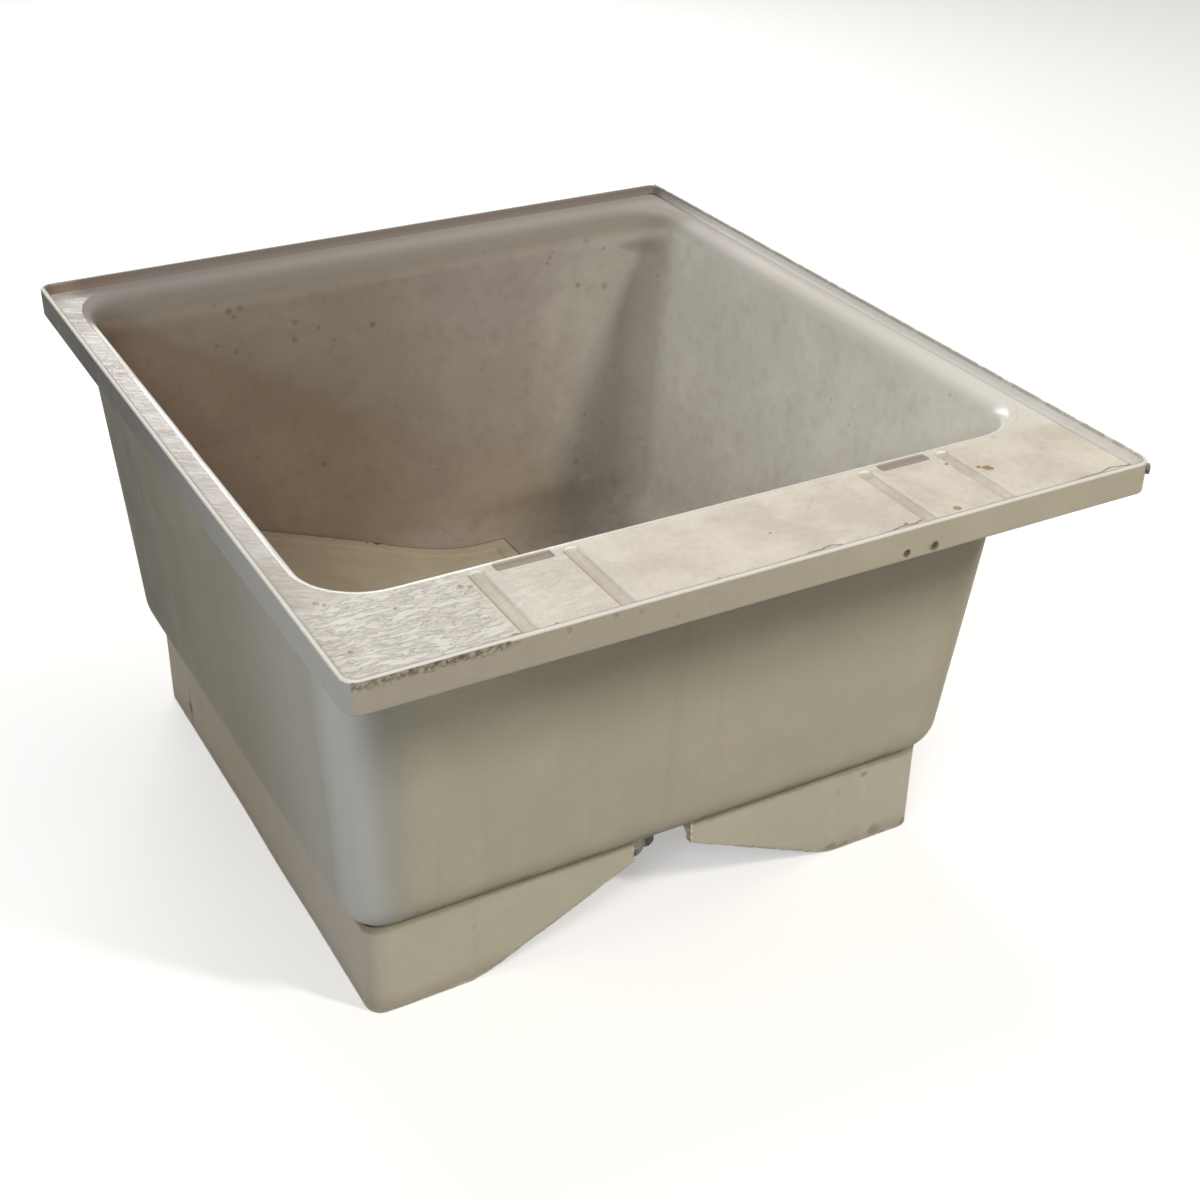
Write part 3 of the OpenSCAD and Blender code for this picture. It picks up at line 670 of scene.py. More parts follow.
def make_board():
    """The loose board: a thin sheet with a raised border, and water slots in its low edge."""
    line = board_line()
    from_edge = np.array([0, 0.8, 2, 4, 7, 10, 13, 14.6, 15.2, 15.8, 16.4, 17, 18.5, 21, 25]) * MM
    top = board_rows(line, 0.0, from_edge)
    bottom = board_rows(line, -BOARD_T, from_edge[::3])
    front, back = top[0, :, 1], top[-1, :, 1]
    margin = np.minimum(np.minimum(top[..., 1] - front, back - top[..., 1]),
                        np.minimum(top[..., 0] - line[0, 0], NOSE_X - top[..., 0]))
    field = smooth_step(margin, BORDER - 1.8 * MM, BORDER + 1.8 * MM)
    sag = wobble(top[..., 0] * 1.3, top[..., 1] * 1.3, 0.3) * 0.3 * MM * smooth_step(margin, 0, 30 * MM)
    top[..., 2] -= field * FIELD_DEPTH - sag
    loops = np.concatenate([top, bottom[::-1]])
    rim = np.concatenate([margin, np.zeros(bottom.shape[:2])])
    piece = skin("board_sheet", loops, "board",
                 {"margin": rim / BORDER, "field": np.concatenate([field, np.zeros(bottom.shape[:2])])},
                 open_ends=True)
    cut_slots(piece)
    soften(piece, 0.6 * MM)
    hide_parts("sloping_board")
    return piece


def cut_slots(piece):
    """Cuts the water slots into the board's low edge, all with one tool."""
    middle = (WALL_INSET[2] + BOWL_H * DRAFT[2] - WALL_INSET[3] - BOWL_H * DRAFT[3]) / 2
    work = bmesh.new()
    end = [(NOSE_X - SLOT_L + SLOT_W / 2 * math.cos(angle), SLOT_W / 2 * math.sin(angle))
           for angle in np.linspace(math.pi / 2, math.pi * 1.5, 20)]
    slot = [(NOSE_X + 5 * MM, SLOT_W / 2), *end, (NOSE_X + 5 * MM, -SLOT_W / 2)]
    for i in range(-2, 3):
        low = [work.verts.new((x, y + middle + i * SLOT_PITCH, FLOOR - 5 * MM)) for x, y in slot]
        face = work.faces.new(low)
        lifted = bmesh.ops.extrude_face_region(work, geom=[face])["geom"]
        bmesh.ops.translate(work, vec=(0, 0, 20 * MM),
                            verts=[v for v in lifted if isinstance(v, bmesh.types.BMVert)])
    bmesh.ops.recalc_face_normals(work, faces=work.faces)
    cut_with(piece, work)


def make_leg():
    """The plate that holds the board's high end off the floor."""
    line = np.interp(LEG_X, *board_line()[:, :2].T)
    front, back, _ = room(LEG_X, FLOOR + 40 * MM)
    ys = front + (1 - np.cos(np.linspace(0, math.pi, 60))) / 2 * (back - front)
    reach = FOOT_R - WALL_T
    wall_front = -HALF_D + WALL_INSET[2] + (TOP - FLOOR) * DRAFT[2] + WALL_T + CLEARANCE
    wall_back = HALF_D - WALL_INSET[3] - (TOP - FLOOR) * DRAFT[3] - WALL_T - CLEARANCE
    inward = np.clip(np.minimum(ys - wall_front, wall_back - ys), 0, reach)
    low = FLOOR + SEAT_GAP + reach - np.sqrt(reach ** 2 - (reach - inward) ** 2)
    thick, high = BOARD_T, line - BOARD_T / 2
    loops = []
    for x, lift in ((0, 0.5), (0, None), (thick, None), (thick, 0.5), (thick - 0.5 * MM, 0), (0.5 * MM, 0)):
        z = np.full(len(ys), high) if lift is None else low + lift * MM
        loops.append(np.column_stack([np.full(len(ys), LEG_X + x), ys, z]))
    return skin("board_leg", loops, "board", {"margin": np.ones((6, len(ys)))},
                open_ends=True)


def soften(piece, width):
    """Rounds a piece's sharp edges a little."""
    bevel = piece.modifiers.new("soft_edges", "BEVEL")
    bevel.width, bevel.segments, bevel.limit_method = width, 2, "ANGLE"
    bevel.angle_limit = math.radians(40)
    bevel.harden_normals = True


# ---- old sealant on the right side of the rim ----

def make_sealant():
    """A crust of old sealant along the right edge of the rim, ragged and broken in places."""
    ys = np.linspace(-HALF_D + 16 * MM, HALF_D - 14 * MM, 420)
    amount = 0.5 + 0.5 * np.sin(61 * ys) * np.sin(23 * ys + 1) + 0.35 * np.sin(257 * ys) * np.sin(97 * ys)
    amount = np.clip(amount, 0.12, 1.2)
    loops = []
    thick, high = 0.55 * MM, 1.5 * MM
    for angle in np.linspace(0, 2 * math.pi, 9)[:-1]:
        rough = 1 + 0.25 * np.sin(900 * ys + 5 * angle) * np.sin(371 * ys + 2 * angle)
        xs = HALF_W - thick + thick * amount * rough * math.cos(angle)
        zs = TOP - 1.7 * MM + high * amount * rough * math.sin(angle)
        loops.append(np.column_stack([np.minimum(xs, HALF_W), ys, np.minimum(zs, TOP - 0.1 * MM)]))
    return skin("rim_sealant", loops, "sink", open_ends=True)


def make_lump(name, centre, size, seed):
    """A small irregular lump that sticks to the rim."""
    work = bmesh.new()
    bmesh.ops.create_icosphere(work, subdivisions=4, radius=1)
    for point in work.verts:
        x, y, z = point.co
        swell = 1 + 0.16 * math.sin(5 * x + seed) * math.sin(4 * y - seed) + 0.1 * math.sin(11 * z + 7 * x)
        point.co = Vector(centre) + Vector((x * size[0], y * size[1], z * size[2])) * swell
        point.co.x = min(point.co.x, HALF_W)
        point.co.y = max(point.co.y, -HALF_D)
        point.co.z = min(point.co.z, TOP)
    mesh = bpy.data.meshes.new(name)
    work.to_mesh(mesh)
    work.free()
    mesh.shade_smooth()
    piece = bpy.data.objects.new(name, mesh)
    bpy.context.scene.collection.objects.link(piece)
    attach(piece, "sink")
    return piece


basin = make_basin()
skirt = make_skirt()
board = make_board()
leg = make_leg()
sealant = make_sealant()
corner_crust = make_lump("corner_crust", (HALF_W - 3.2 * MM, -HALF_D + 2.6 * MM, TOP - 6 * MM),
                         (2.6 * MM, 2.4 * MM, 4 * MM), 1.0)
corner_bead = make_lump("corner_bead", (HALF_W - 1.7 * MM, -HALF_D + 3.2 * MM, TOP - 9 * MM),
                        (1.9 * MM, 2.2 * MM, 1.9 * MM), 2.0)
back_blob = make_lump("back_blob", (HALF_W - 2.6 * MM, HALF_D - 4 * MM, TOP - 2.2 * MM),
                      (2.4 * MM, 3.4 * MM, 2.1 * MM), 3.0)

# ---- finishes ----

def stains(paint, places, rough, scale):
    """A mask of small ragged marks. Each has a place and a size in millimetres, and a strength."""
    ragged = (paint.noise(scale, 3.0, 0.6) - 0.5) * rough
    mask = None
    for x, y, z, reach, strength in places:
        distance = paint.away((x * MM, y * MM, z * MM), (1.0 / (reach * MM),) * 3)
        one = paint.ramp(distance + ragged, 1.0, 0.55) * strength
        mask = one if mask is None else paint.most(mask, one)
    return mask


# ---- small marks: x, y and z, the size, all in millimetres, and the strength ----

BACK_SPOTS = [
    (-169.5, 307, 378, 3.6, 0.7), (-151, 307, 375, 4.2, 0.7), (-166, 307, 364, 3.2, 0.7),
    (-160, 307, 366, 2.6, 0.6), (-153, 306, 357, 3.8, 0.9), (-143.5, 306, 358, 3.4, 0.8),
    (-150, 306, 351, 2.8, 0.8), (-94, 305, 336, 3.4, 0.7), (-96, 304, 320, 3.6, 0.8),
    (-72, 305, 327, 2.4, 0.6), (-58, 304, 313, 2.6, 0.5), (-20, 304, 321, 3.6, 0.9),
    (-168, 305, 327, 2.8, 0.6), (-150, 304, 319, 3.2, 0.6), (-148, 300, 244, 2.2, 0.4),
    (-142, 298, 215, 3.0, 0.5), (-116, 297, 199, 2.6, 0.4), (-79, 297, 194, 3.4, 0.6),
    (165, 306, 353, 2.6, 0.6), (205, 307, 363, 3.6, 0.6), (195, 304, 321, 3.4, 0.9),
    (224, 304, 316, 4.6, 0.7), (188, 293, 137, 3.2, 0.6), (219, 295, 172, 2.6, 0.4),
    (273, 284, 324, 2.6, 0.6), (259, 322, 162, 3.4, 0.5), (88, 300, 255, 2.2, 0.5),
    (20, 298, 220, 2.4, 0.4), (120, 296, 190, 2.2, 0.4), (-30, 302, 285, 2.0, 0.4)]
DECK_CHIPS = [
    (204.6, -288.7, 386, 4.6, 1.0), (199.5, -284.5, 386, 2.8, 1.0), (147, -327, 386, 3.6, 0.9),
    (102.5, -328.5, 386, 2.2, 0.8), (182.3, -270.5, 386, 1.6, 1.0), (193, -278, 386, 1.6, 0.9),
    (14.7, -297.4, 386, 1.3, 0.8), (-241.8, -270.3, 386, 1.8, 0.7), (-282.4, -243.2, 386, 2.8, 0.6),
    (-279, -247, 386, 1.8, 0.7), (-195.4, -265.8, 386, 3.0, 0.5), (-190, -268, 386, 2.2, 0.6),
    (-285, -304, 386, 2.2, 0.7), (-46.6, -332, 386, 1.6, 0.6), (56.5, -281, 386, 1.4, 0.4),
    (240, -252, 386, 1.3, 0.5), (117.7, -303.7, 386, 1.6, 0.5)]
APRON_CHIPS = [
    (-162, -347, 389, 2.4, 0.5), (-112, -347, 388, 2.6, 0.4), (-86, -347, 377.6, 2.8, 0.4),
    (-130, -347, 390.5, 2.4, 0.4), (-150, -347, 391, 2.0, 0.5)]
SKIRT_MARKS = [
    (188, -211, 72, 5, 0.9), (205, -211, 8, 7, 0.8), (238, -211, 3, 6, 0.9), (161, -211, 4, 6, 0.8),
    (176, -211, 3, 5, 0.8), (164, -211, 61, 3, 0.4), (-168, -211, 53, 3, 0.3), (-254, 214, 23, 8, 0.9)]
BOARD_GRIT = [
    (-36, 286, 102, 2.6, 1.0), (-31, 287, 100, 1.8, 1.0), (-22, 286, 98, 2.4, 1.0),
    (-16, 287, 96, 1.6, 1.0), (-46, 286, 106, 1.6, 0.9), (4, 286, 90, 1.8, 0.8),
    (-112, 262, 131, 2.8, 0.9), (-108, 261, 130, 1.8, 0.9), (-78, 286, 118, 1.6, 0.8),
    (-150, 286, 144, 1.8, 0.8), (30, 284, 84, 2.0, 0.7)]


class GelCoat(Paint):
    """The moulding's finish, with the masks and the noises that its layers share."""

    def __init__(self):
        super().__init__("worn_gelcoat", Specular_IOR_Level=0.14, Coat_Roughness=0.22)
        for zone in ("inside", "ledge", "lip", "apron", "mouth", "under", "relief", "pocket"):
            setattr(self, zone, self.mark(zone))
        self.cloud, self.blotch = self.noise(4.5, 3.0), self.noise(21.0, 5.0, 0.62)
        self.mottle, self.grain = self.noise(75.0, 4.0, 0.6), self.noise(650.0, 2.0)
        self.on_deck = self.ramp(self.y, -HALF_D + 106 * MM, -HALF_D + 96 * MM)
        self.left_ledge = self.ledge * self.ramp(self.x, -0.25, -0.27)
        self.glossy_ledge = self.left_ledge * (1 - self.on_deck)
        slanted = self.node("CombineXYZ", {}, self.x * 45, self.y * 230 + self.x * 150, self.z * 30)
        self.smear = self.noise(1.0, 4.0, 0.65, place=slanted, warp=0.4)


def outer_walls(coat):
    """Khaki cream in front; painted shade on the left wall that deepens to the back, a painted cool sheen
    on the front-left corner, and grime with painted shade along the foot.
    """
    x, y, z, inside = coat.x, coat.y, coat.z, coat.inside
    cloud, blotch, mottle = coat.cloud, coat.blotch, coat.mottle
    colour = coat.mix(cloud, (0.440, 0.402, 0.300), (0.530, 0.488, 0.372))
    # Painted shade: the left wall darkens towards the back, standing for the shade on that side of the
    # sink.
    shaded_left_wall = coat.mix(coat.ramp(y, -0.22, 0.02), (0.370, 0.358, 0.308), (0.208, 0.186, 0.128))
    shaded_left_wall = coat.mix(coat.ramp(y, 0.02, 0.26), shaded_left_wall, (0.100, 0.086, 0.052))
    colour = coat.mix(coat.ramp(x, -0.205, -0.255), colour, shaded_left_wall)
    colour = coat.tint(coat.ramp(blotch, 0.45, 0.72) * 0.6, colour, (1.12, 1.12, 1.13))
    # Painted sheen: the rounded front-left corner is lightened to a cool grey, standing for a reflection.
    from_left = x + HALF_W - WALL_INSET[0] - (TOP - z) * DRAFT[0]
    from_front = y + HALF_D - WALL_INSET[2] - (TOP - z) * DRAFT[2]
    corner = coat.ramp(from_left, 42 * MM, 10 * MM) * coat.ramp(from_front, 38 * MM, 8 * MM)
    colour = coat.mix(corner * 0.80, colour, (0.530, 0.530, 0.515))
    # Grime along the foot, darkened further as painted shade where the bowl sits on the skirt.
    ragged = (mottle - 0.5) * 0.012 + (blotch - 0.5) * 0.016
    grime_and_shade = coat.ramp(z + ragged, UNDER + 25 * MM, UNDER + 11 * MM) * (1 - inside)
    colour = coat.tint(grime_and_shade * 0.85, colour, (0.40, 0.35, 0.28))
    runs = coat.noise(30.0, 3.0, 0.6, place=coat.stretched((1.0, 1.0, 0.06)))
    colour = coat.tint(coat.ramp(runs, 0.56, 0.74) * (1 - inside) * 0.30, colour, (0.80, 0.76, 0.68))
    return colour


def bowl_film(coat):
    """A brown film, greyer above a line that slants down to the right: the line is a painted shadow edge of
    the left rim, with painted shade in the brown below it. Painted light lifts the back wall's right part,
    and the right wall is pale, with painted light that grows towards the front.
    """
    x, y, z, inside = coat.x, coat.y, coat.z, coat.inside
    cloud, blotch, mottle = coat.cloud, coat.blotch, coat.mottle
    to_right = coat.ramp(x + (cloud - 0.5) * 0.08, -0.06, 0.12)
    # Painted shadow: the slanted line is the left rim's cast shadow edge, and the brown below it is partly
    # painted shade.
    slant = coat.ramp(z + x * 0.588 + (blotch - 0.5) * 0.020, 0.210, 0.226)
    high = coat.ramp(z + (blotch - 0.5) * 0.08, 0.17, 0.35)
    film = coat.mix(slant, (0.268, 0.208, 0.160), (0.262, 0.227, 0.186))
    film = coat.mix(to_right, film, coat.mix(high, (0.350, 0.302, 0.255), (0.345, 0.300, 0.268)))
    # Painted light: the back wall's right part is lightened to lift the shade that falls there.
    film = coat.mix(coat.ramp(x + (blotch - 0.5) * 0.05, 0.12, 0.21), film, (0.420, 0.385, 0.342))
    # Painted light: the right wall is pale and grows paler towards the front, standing for the light that
    # falls on it.
    lit_right_wall = coat.mix(coat.ramp(y, -0.22, 0.24), (0.860, 0.835, 0.750), (0.700, 0.680, 0.600))
    film = coat.mix(coat.ramp(x, 0.215, 0.262) * coat.ramp(y, 0.300, 0.245), film, lit_right_wall)
    film = coat.tint(coat.ramp(blotch, 0.42, 0.70) * 0.7, film, (1.13, 1.13, 1.13))
    film = coat.tint(coat.ramp(mottle, 0.46, 0.74) * 0.45, film, (0.82, 0.78, 0.72))
    scale_spots = coat.ramp(coat.noise(48.0, 6.0, 0.75, warp=0.4), 0.56, 0.68)
    near_corner = coat.ramp(coat.away((0.243, 0.285, 0.12), (9, 9, 11)), 1.1, 0.3)
    film = coat.mix(scale_spots * near_corner * 0.35, film, (0.66, 0.66, 0.62))
    warm = coat.ramp(coat.away((0.105, 0.292, 0.118), (11, 11, 14)), 1.0, 0.1)
    film = coat.mix(warm * 0.22, film, (0.530, 0.430, 0.255))
    spots = stains(coat, BACK_SPOTS, 1.6, 150.0)
    film = coat.tint(spots * 0.72, film, (0.56, 0.51, 0.46))
    specks = coat.ramp(coat.cells(34.0), 0.085, 0.03) * coat.ramp(coat.noise(9.0, 2.0), 0.50, 0.62)
    film = coat.tint(specks * 0.6, film, (0.50, 0.45, 0.39))
    settled = coat.ramp(coat.away((0.150, 0.288, 0.092), (7, 12, 30)) + (mottle - 0.5) * 1.3, 1.0, 0.2)
    film = coat.tint(settled * 0.55, film, (0.52, 0.49, 0.44))
    from_drain = coat.away(tuple(DRAIN.xy) + (FLOOR,), (1, 1, 0)) + (blotch - 0.5) * 0.02
    drain_dirt = coat.ramp(from_drain, 0.085, 0.048)
    film = coat.tint(drain_dirt * inside * 0.8, film, (0.48, 0.42, 0.33))
    return film


def side_ledges(coat):
    """Brown at the back, grey with streaks at the left, cream at the right."""
    x, y, mouth, blotch, smear = coat.x, coat.y, coat.mouth, coat.blotch, coat.smear
    side_tone = coat.mix(coat.ramp(y, -0.22, 0.12), (0.640, 0.615, 0.535), (0.500, 0.460, 0.405))
    side_tone = coat.mix(coat.ramp(y, 0.12, 0.32), side_tone, (0.310, 0.280, 0.250))
    left_tone = coat.mix(coat.ramp(blotch, 0.42, 0.60), (0.440, 0.385, 0.330), (0.560, 0.540, 0.500))
    left_tone = coat.tint(coat.ramp(smear, 0.50, 0.66) * 0.55, left_tone, (0.70, 0.60, 0.50))
    side_tone = coat.mix(coat.ramp(x, -0.23, -0.27), side_tone, left_tone)
    back_tone = coat.mix(coat.ramp(x, -0.25, 0.22), (0.180, 0.150, 0.126), (0.280, 0.250, 0.208))
    back_ledge = coat.ramp(y + (blotch - 0.5) * 0.01, 0.300, 0.314) * coat.ramp(x, -0.290, -0.265)
    at_back = coat.most(back_ledge, mouth * coat.ramp(y, 0.240, 0.275))
    side_tone = coat.mix(at_back, side_tone, back_tone)
    return side_tone


def deck_top(coat):
    """Cream with pinkish water marks, scraped down to white streaks at its left end."""
    x, blotch, mottle = coat.x, coat.blotch, coat.mottle
    deck_tone = coat.mix(coat.ramp(blotch, 0.36, 0.66), (0.585, 0.530, 0.445), (0.690, 0.640, 0.550))
    fine_mottle = coat.noise(150.0, 5.0, 0.70)
    deck_tone = coat.tint(coat.ramp(fine_mottle, 0.46, 0.66) * 0.35, deck_tone, (0.86, 0.83, 0.80))
    rings = coat.noise(13.0, 2.0, 0.4, warp=0.8)
    contour = coat.band(rings, 0.478, 0.486, 0.006) + coat.band(rings, 0.556, 0.562, 0.006)
    deck_tone = coat.tint(contour * 0.30 * mottle, deck_tone, (0.80, 0.72, 0.62))
    scraped = coat.most(coat.ramp(x + (blotch - 0.5) * 0.03, -0.172, -0.198),
                         coat.ramp(x, -0.08, -0.12) * 0.40)
    streaks = coat.noise(150.0, 6.0, 0.72, place=coat.stretched((0.35, 1.3, 1.0)), warp=0.20)
    flakes = coat.ramp(streaks, 0.485, 0.535)
    white_bits = coat.mix(flakes, (0.628, 0.598, 0.538), (0.695, 0.675, 0.620))
    deck_tone = coat.mix(scraped * 0.85, deck_tone, white_bits)
    flake_rims = coat.band(streaks, 0.470, 0.484, 0.010) * scraped
    deck_tone = coat.tint(flake_rims * 0.40, deck_tone, (0.62, 0.55, 0.48))
    coat.scraped, coat.flakes, coat.flake_rims = scraped, flakes, flake_rims
    return deck_tone


def grooves_and_pockets(coat, side_tone):
    """The grooves are mauve grey, darkened a little by painted shade, with a painted shadow line on their
    left edge and painted highlights along their right edge and round their far ends; the pockets' floors a
    dull grey brown.
    """
    x, y, ledge, relief = coat.x, coat.y, coat.ledge, coat.relief
    pocket, mottle, on_deck = coat.pocket, coat.mottle, coat.on_deck
    # Painted shade: the groove floors are darkened a little, as shade falls in them.
    hollow = coat.ramp(relief, 0.10, 0.45) * on_deck * (0.6 + mottle * 0.8)
    side_tone = coat.tint(hollow, side_tone, (0.88, 0.86, 0.855))
    # Painted shadow and highlights: a dark line along each groove's left edge, a light one along its right
    # edge, and a bright crescent at its far end.
    shadowed_left_edges = lit_right_edges = 0.0
    for groove in GROOVES:
        shadowed_left_edges = coat.band(x, groove - 6.6 * MM, groove - 5.0 * MM, 0.5 * MM) + shadowed_left_edges
        lit_right_edges = coat.band(x, groove + 5.2 * MM, groove + 6.8 * MM, 0.5 * MM) + lit_right_edges
    along = coat.ramp(y, GROOVE_END + 2 * MM, GROOVE_END) * ledge
    side_tone = coat.tint(shadowed_left_edges * along, side_tone, (0.48, 0.42, 0.38))
    past_end = coat.ramp(y, GROOVE_END + 2.6 * MM, GROOVE_END + 4.2 * MM)
    lit_crescent = coat.band(relief, 0.04, 0.42, 0.08) * past_end * (1 - pocket)
    side_tone = coat.mix(coat.most(lit_right_edges * along * 0.45, lit_crescent), side_tone, (0.80, 0.78, 0.74))
    # Painted shade: a thin dark line along both edges of each groove.
    groove_edge_shade = coat.band(relief, 0.03, 0.13, 0.04) * on_deck * ledge
    side_tone = coat.tint(groove_edge_shade * (0.15 + mottle * 0.4), side_tone, (0.62, 0.55, 0.50))
    pocket_tone = coat.mix(mottle, (0.275, 0.235, 0.193), (0.335, 0.290, 0.240))
    side_tone = coat.mix(coat.ramp(pocket, 0.05, 0.35), side_tone, pocket_tone)
    return side_tone


def peeling(coat, side_tone):
    """A ragged line of peeling gel coat runs along the front lip, and chips lie round it."""
    y, mottle, grain, on_deck = coat.y, coat.mottle, coat.grain, coat.on_deck
    wander = (coat.noise(16.0, 5.0, 0.62, place=coat.stretched((1.0, 0.2, 0.2))) - 0.5) * 0.030
    peel_line = y + HALF_D - 14.5 * MM - wander
    peel_on = coat.ramp(coat.noise(11.0, 3.0, place=coat.stretched((1.0, 0.1, 0.1))), 0.45, 0.53)
    near_lip = y + HALF_D - 6.8 * MM - wander * 0.25
    far_rim = coat.band(peel_line, -0.7 * MM, 0.7 * MM, 0.5 * MM) * peel_on
    near_rim = coat.band(near_lip, -0.7 * MM, 0.7 * MM, 0.5 * MM) * (1 - peel_on)
    peel_rim = coat.most(far_rim, near_rim * coat.ramp(mottle, 0.44, 0.56))
    peeled = coat.ramp(peel_line, 0.3 * MM, -0.3 * MM) * peel_on
    side_tone = coat.mix(peeled * on_deck * 0.4, side_tone, (0.690, 0.655, 0.590))
    side_tone = coat.tint(peel_rim * on_deck * 0.9, side_tone, (0.36, 0.30, 0.25))
    chips = stains(coat, DECK_CHIPS, 1.3, 210.0)
    bare = coat.mix(grain, (0.20, 0.085, 0.045), (0.42, 0.27, 0.18))
    side_tone = coat.mix(chips * 0.9, side_tone, bare)
    coat.peeled, coat.peel_rim, coat.chips = peeled, peel_rim, chips
    return side_tone


def mouth_edge(coat, colour):
    """The mouth's edge is worn white along the deck and the left ledge, and lightened further by a painted
    highlight.
    """
    x, y, inside, mouth, on_deck = coat.x, coat.y, coat.inside, coat.mouth, coat.on_deck
    # Wear and a painted highlight: the mouth's edge is lightened to near white.
    worn_side = coat.most(on_deck, coat.ramp(x, -0.25, -0.27) * coat.ramp(y, 0.268, 0.246))
    worn_and_lit_edge = mouth * worn_side * coat.band(inside, 0.14, 0.62, 0.10)
    scuffs = coat.ramp(coat.noise(60.0, 4.0, 0.6, place=coat.stretched((0.4, 0.4, 1.0))), 0.28, 0.52)
    colour = coat.mix(worn_and_lit_edge * (0.4 + scuffs * 0.6), colour, (0.940, 0.930, 0.905))
    return colour


def rim_lip(coat, colour, side_tone):
    """As the ledge beside it, pale on top, where wear and a painted highlight lighten it, red brown inside
    at the left and brown at the back.
    """
    x, y, z, lip, blotch = coat.x, coat.y, coat.z, coat.lip, coat.blotch
    colour = coat.mix(lip, colour, side_tone)
    inner_lip = lip * coat.ramp(z, TOP - 0.6 * MM, TOP - 2.5 * MM)
    left_lip = inner_lip * coat.ramp(x, -0.285, -0.298) * coat.ramp(blotch, 0.40, 0.62)
    colour = coat.tint(left_lip * 0.8, colour, (0.62, 0.44, 0.34))
    back_lip = coat.mix(coat.ramp(x, -0.20, -0.27), (0.215, 0.178, 0.150), (0.200, 0.140, 0.100))
    colour = coat.mix(inner_lip * coat.ramp(y, 0.325, 0.338) * 0.8, colour, back_lip)
    foot_line = lip * coat.ramp(z, LEDGE + 1.1 * MM, LEDGE + 0.2 * MM) * coat.ramp(x, 0.290, 0.298)
    colour = coat.tint(foot_line * 0.8, colour, (0.36, 0.28, 0.22))
    right_lip = inner_lip * coat.ramp(x, 0.290, 0.298) * coat.ramp(y, 0.34, 0.20)
    colour = coat.mix(right_lip * 0.9, colour, (0.810, 0.785, 0.740))
    # Wear and a painted highlight: the lip's top is lightened.
    lit_worn_lip_top = lip * coat.ramp(z, TOP - 1.3 * MM, TOP - 0.3 * MM)
    colour = coat.mix(lit_worn_lip_top * 0.75, colour, (0.740, 0.715, 0.650))
    sealed = coat.ramp(x, 0.3020, 0.3034) * coat.ramp(coat.noise(90.0, 4.0, 0.7), 0.40, 0.50)
    colour = coat.tint(lip * sealed * 0.85, colour, (0.30, 0.23, 0.18))
    return colour


def apron_front(coat, colour):
    """Khaki in front, grey at the left with painted shade that deepens to the back, chipped under the front
    lip, with painted shade in the screw holes.
    """
    x, y, z, apron, blotch, mottle = coat.x, coat.y, coat.z, coat.apron, coat.blotch, coat.mottle
    apron_tone = coat.mix(coat.ramp(x, -0.30, 0.28), (0.400, 0.356, 0.282), (0.485, 0.440, 0.335))
    # Painted shade: the left apron darkens almost to black towards the back.
    shaded_side_apron = coat.mix(coat.ramp(y, -0.34, 0.18), (0.400, 0.392, 0.376), (0.050, 0.044, 0.036))
    apron_tone = coat.mix(coat.ramp(x, -0.298, -0.303), apron_tone, shaded_side_apron)
    apron_tone = coat.tint(coat.ramp(blotch, 0.42, 0.70) * 0.6, apron_tone, (1.12, 1.12, 1.12))
    colour = coat.mix(apron, colour, apron_tone)
    crumbly = coat.noise(260.0, 5.0, 0.75)
    strip = (coat.ramp(z + (crumbly - 0.5) * 0.016, TOP - 6.2 * MM, TOP - 4.6 * MM)
             * coat.ramp(z, TOP - 0.5 * MM, TOP - 1.2 * MM)
             * coat.ramp(x + (blotch - 0.5) * 0.06 + (crumbly - 0.5) * 0.04, -0.196, -0.210)
             * coat.ramp(y, -HALF_D + 3 * MM, -HALF_D + 1.5 * MM))
    apron_chips = coat.most(strip, stains(coat, APRON_CHIPS, 1.6, 160.0))
    crumbs = coat.mix(coat.ramp(crumbly, 0.38, 0.62), (0.120, 0.092, 0.064), (0.440, 0.385, 0.305))
    colour = coat.mix(apron_chips * 0.9, colour, crumbs)
    scuffed = coat.ramp(coat.noise(38.0, 5.0, 0.7, place=coat.stretched((0.4, 1, 1.6))), 0.60, 0.72)
    colour = coat.tint(scuffed * apron * 0.5, colour, (0.66, 0.58, 0.48))
    # Painted shade: the screw holes and the apron round them are darkened.
    left, right = SCREW_HOLES
    left_hole_shade = coat.ramp(coat.away((left[0], left[1] + MM, left[2])), 3.7 * MM, 2.7 * MM)
    right_hole_shade = coat.ramp(coat.away(right) + (mottle - 0.5) * 0.003, 4.6 * MM, 2.9 * MM)
    colour = coat.tint(coat.most(right_hole_shade, left_hole_shade) * 0.8, colour, (0.42, 0.34, 0.27))
    coat.apron_chips = apron_chips
    return colour


def coat_roughness(coat):
    """Duller where it is scraped, chipped or raw, smoother where hands and water rub it."""
    y, inside, ledge, mouth = coat.y, coat.inside, coat.ledge, coat.mouth
    rough = 0.40 + (coat.blotch - 0.5) * 0.22 + (coat.grain - 0.5) * 0.10
    rough = rough + (1 - inside) * (1 - ledge) * 0.12 + coat.scraped * coat.on_deck * ledge * 0.12
    rough = rough + coat.chips * 0.3 + coat.apron_chips * 0.3 + coat.under * 0.3
    rough = rough - inside * 0.06 - mouth * coat.ramp(y, 0.20, 0.10) * 0.12
    rough = rough + inside * coat.ramp(coat.z, 0.17, 0.11) * 0.25
    rough = rough + coat.most(mouth, ledge) * coat.ramp(y, 0.24, 0.29) * 0.3
    return rough + coat.glossy_ledge * (0.05 - coat.ramp(coat.smear, 0.52, 0.40) * 0.12)


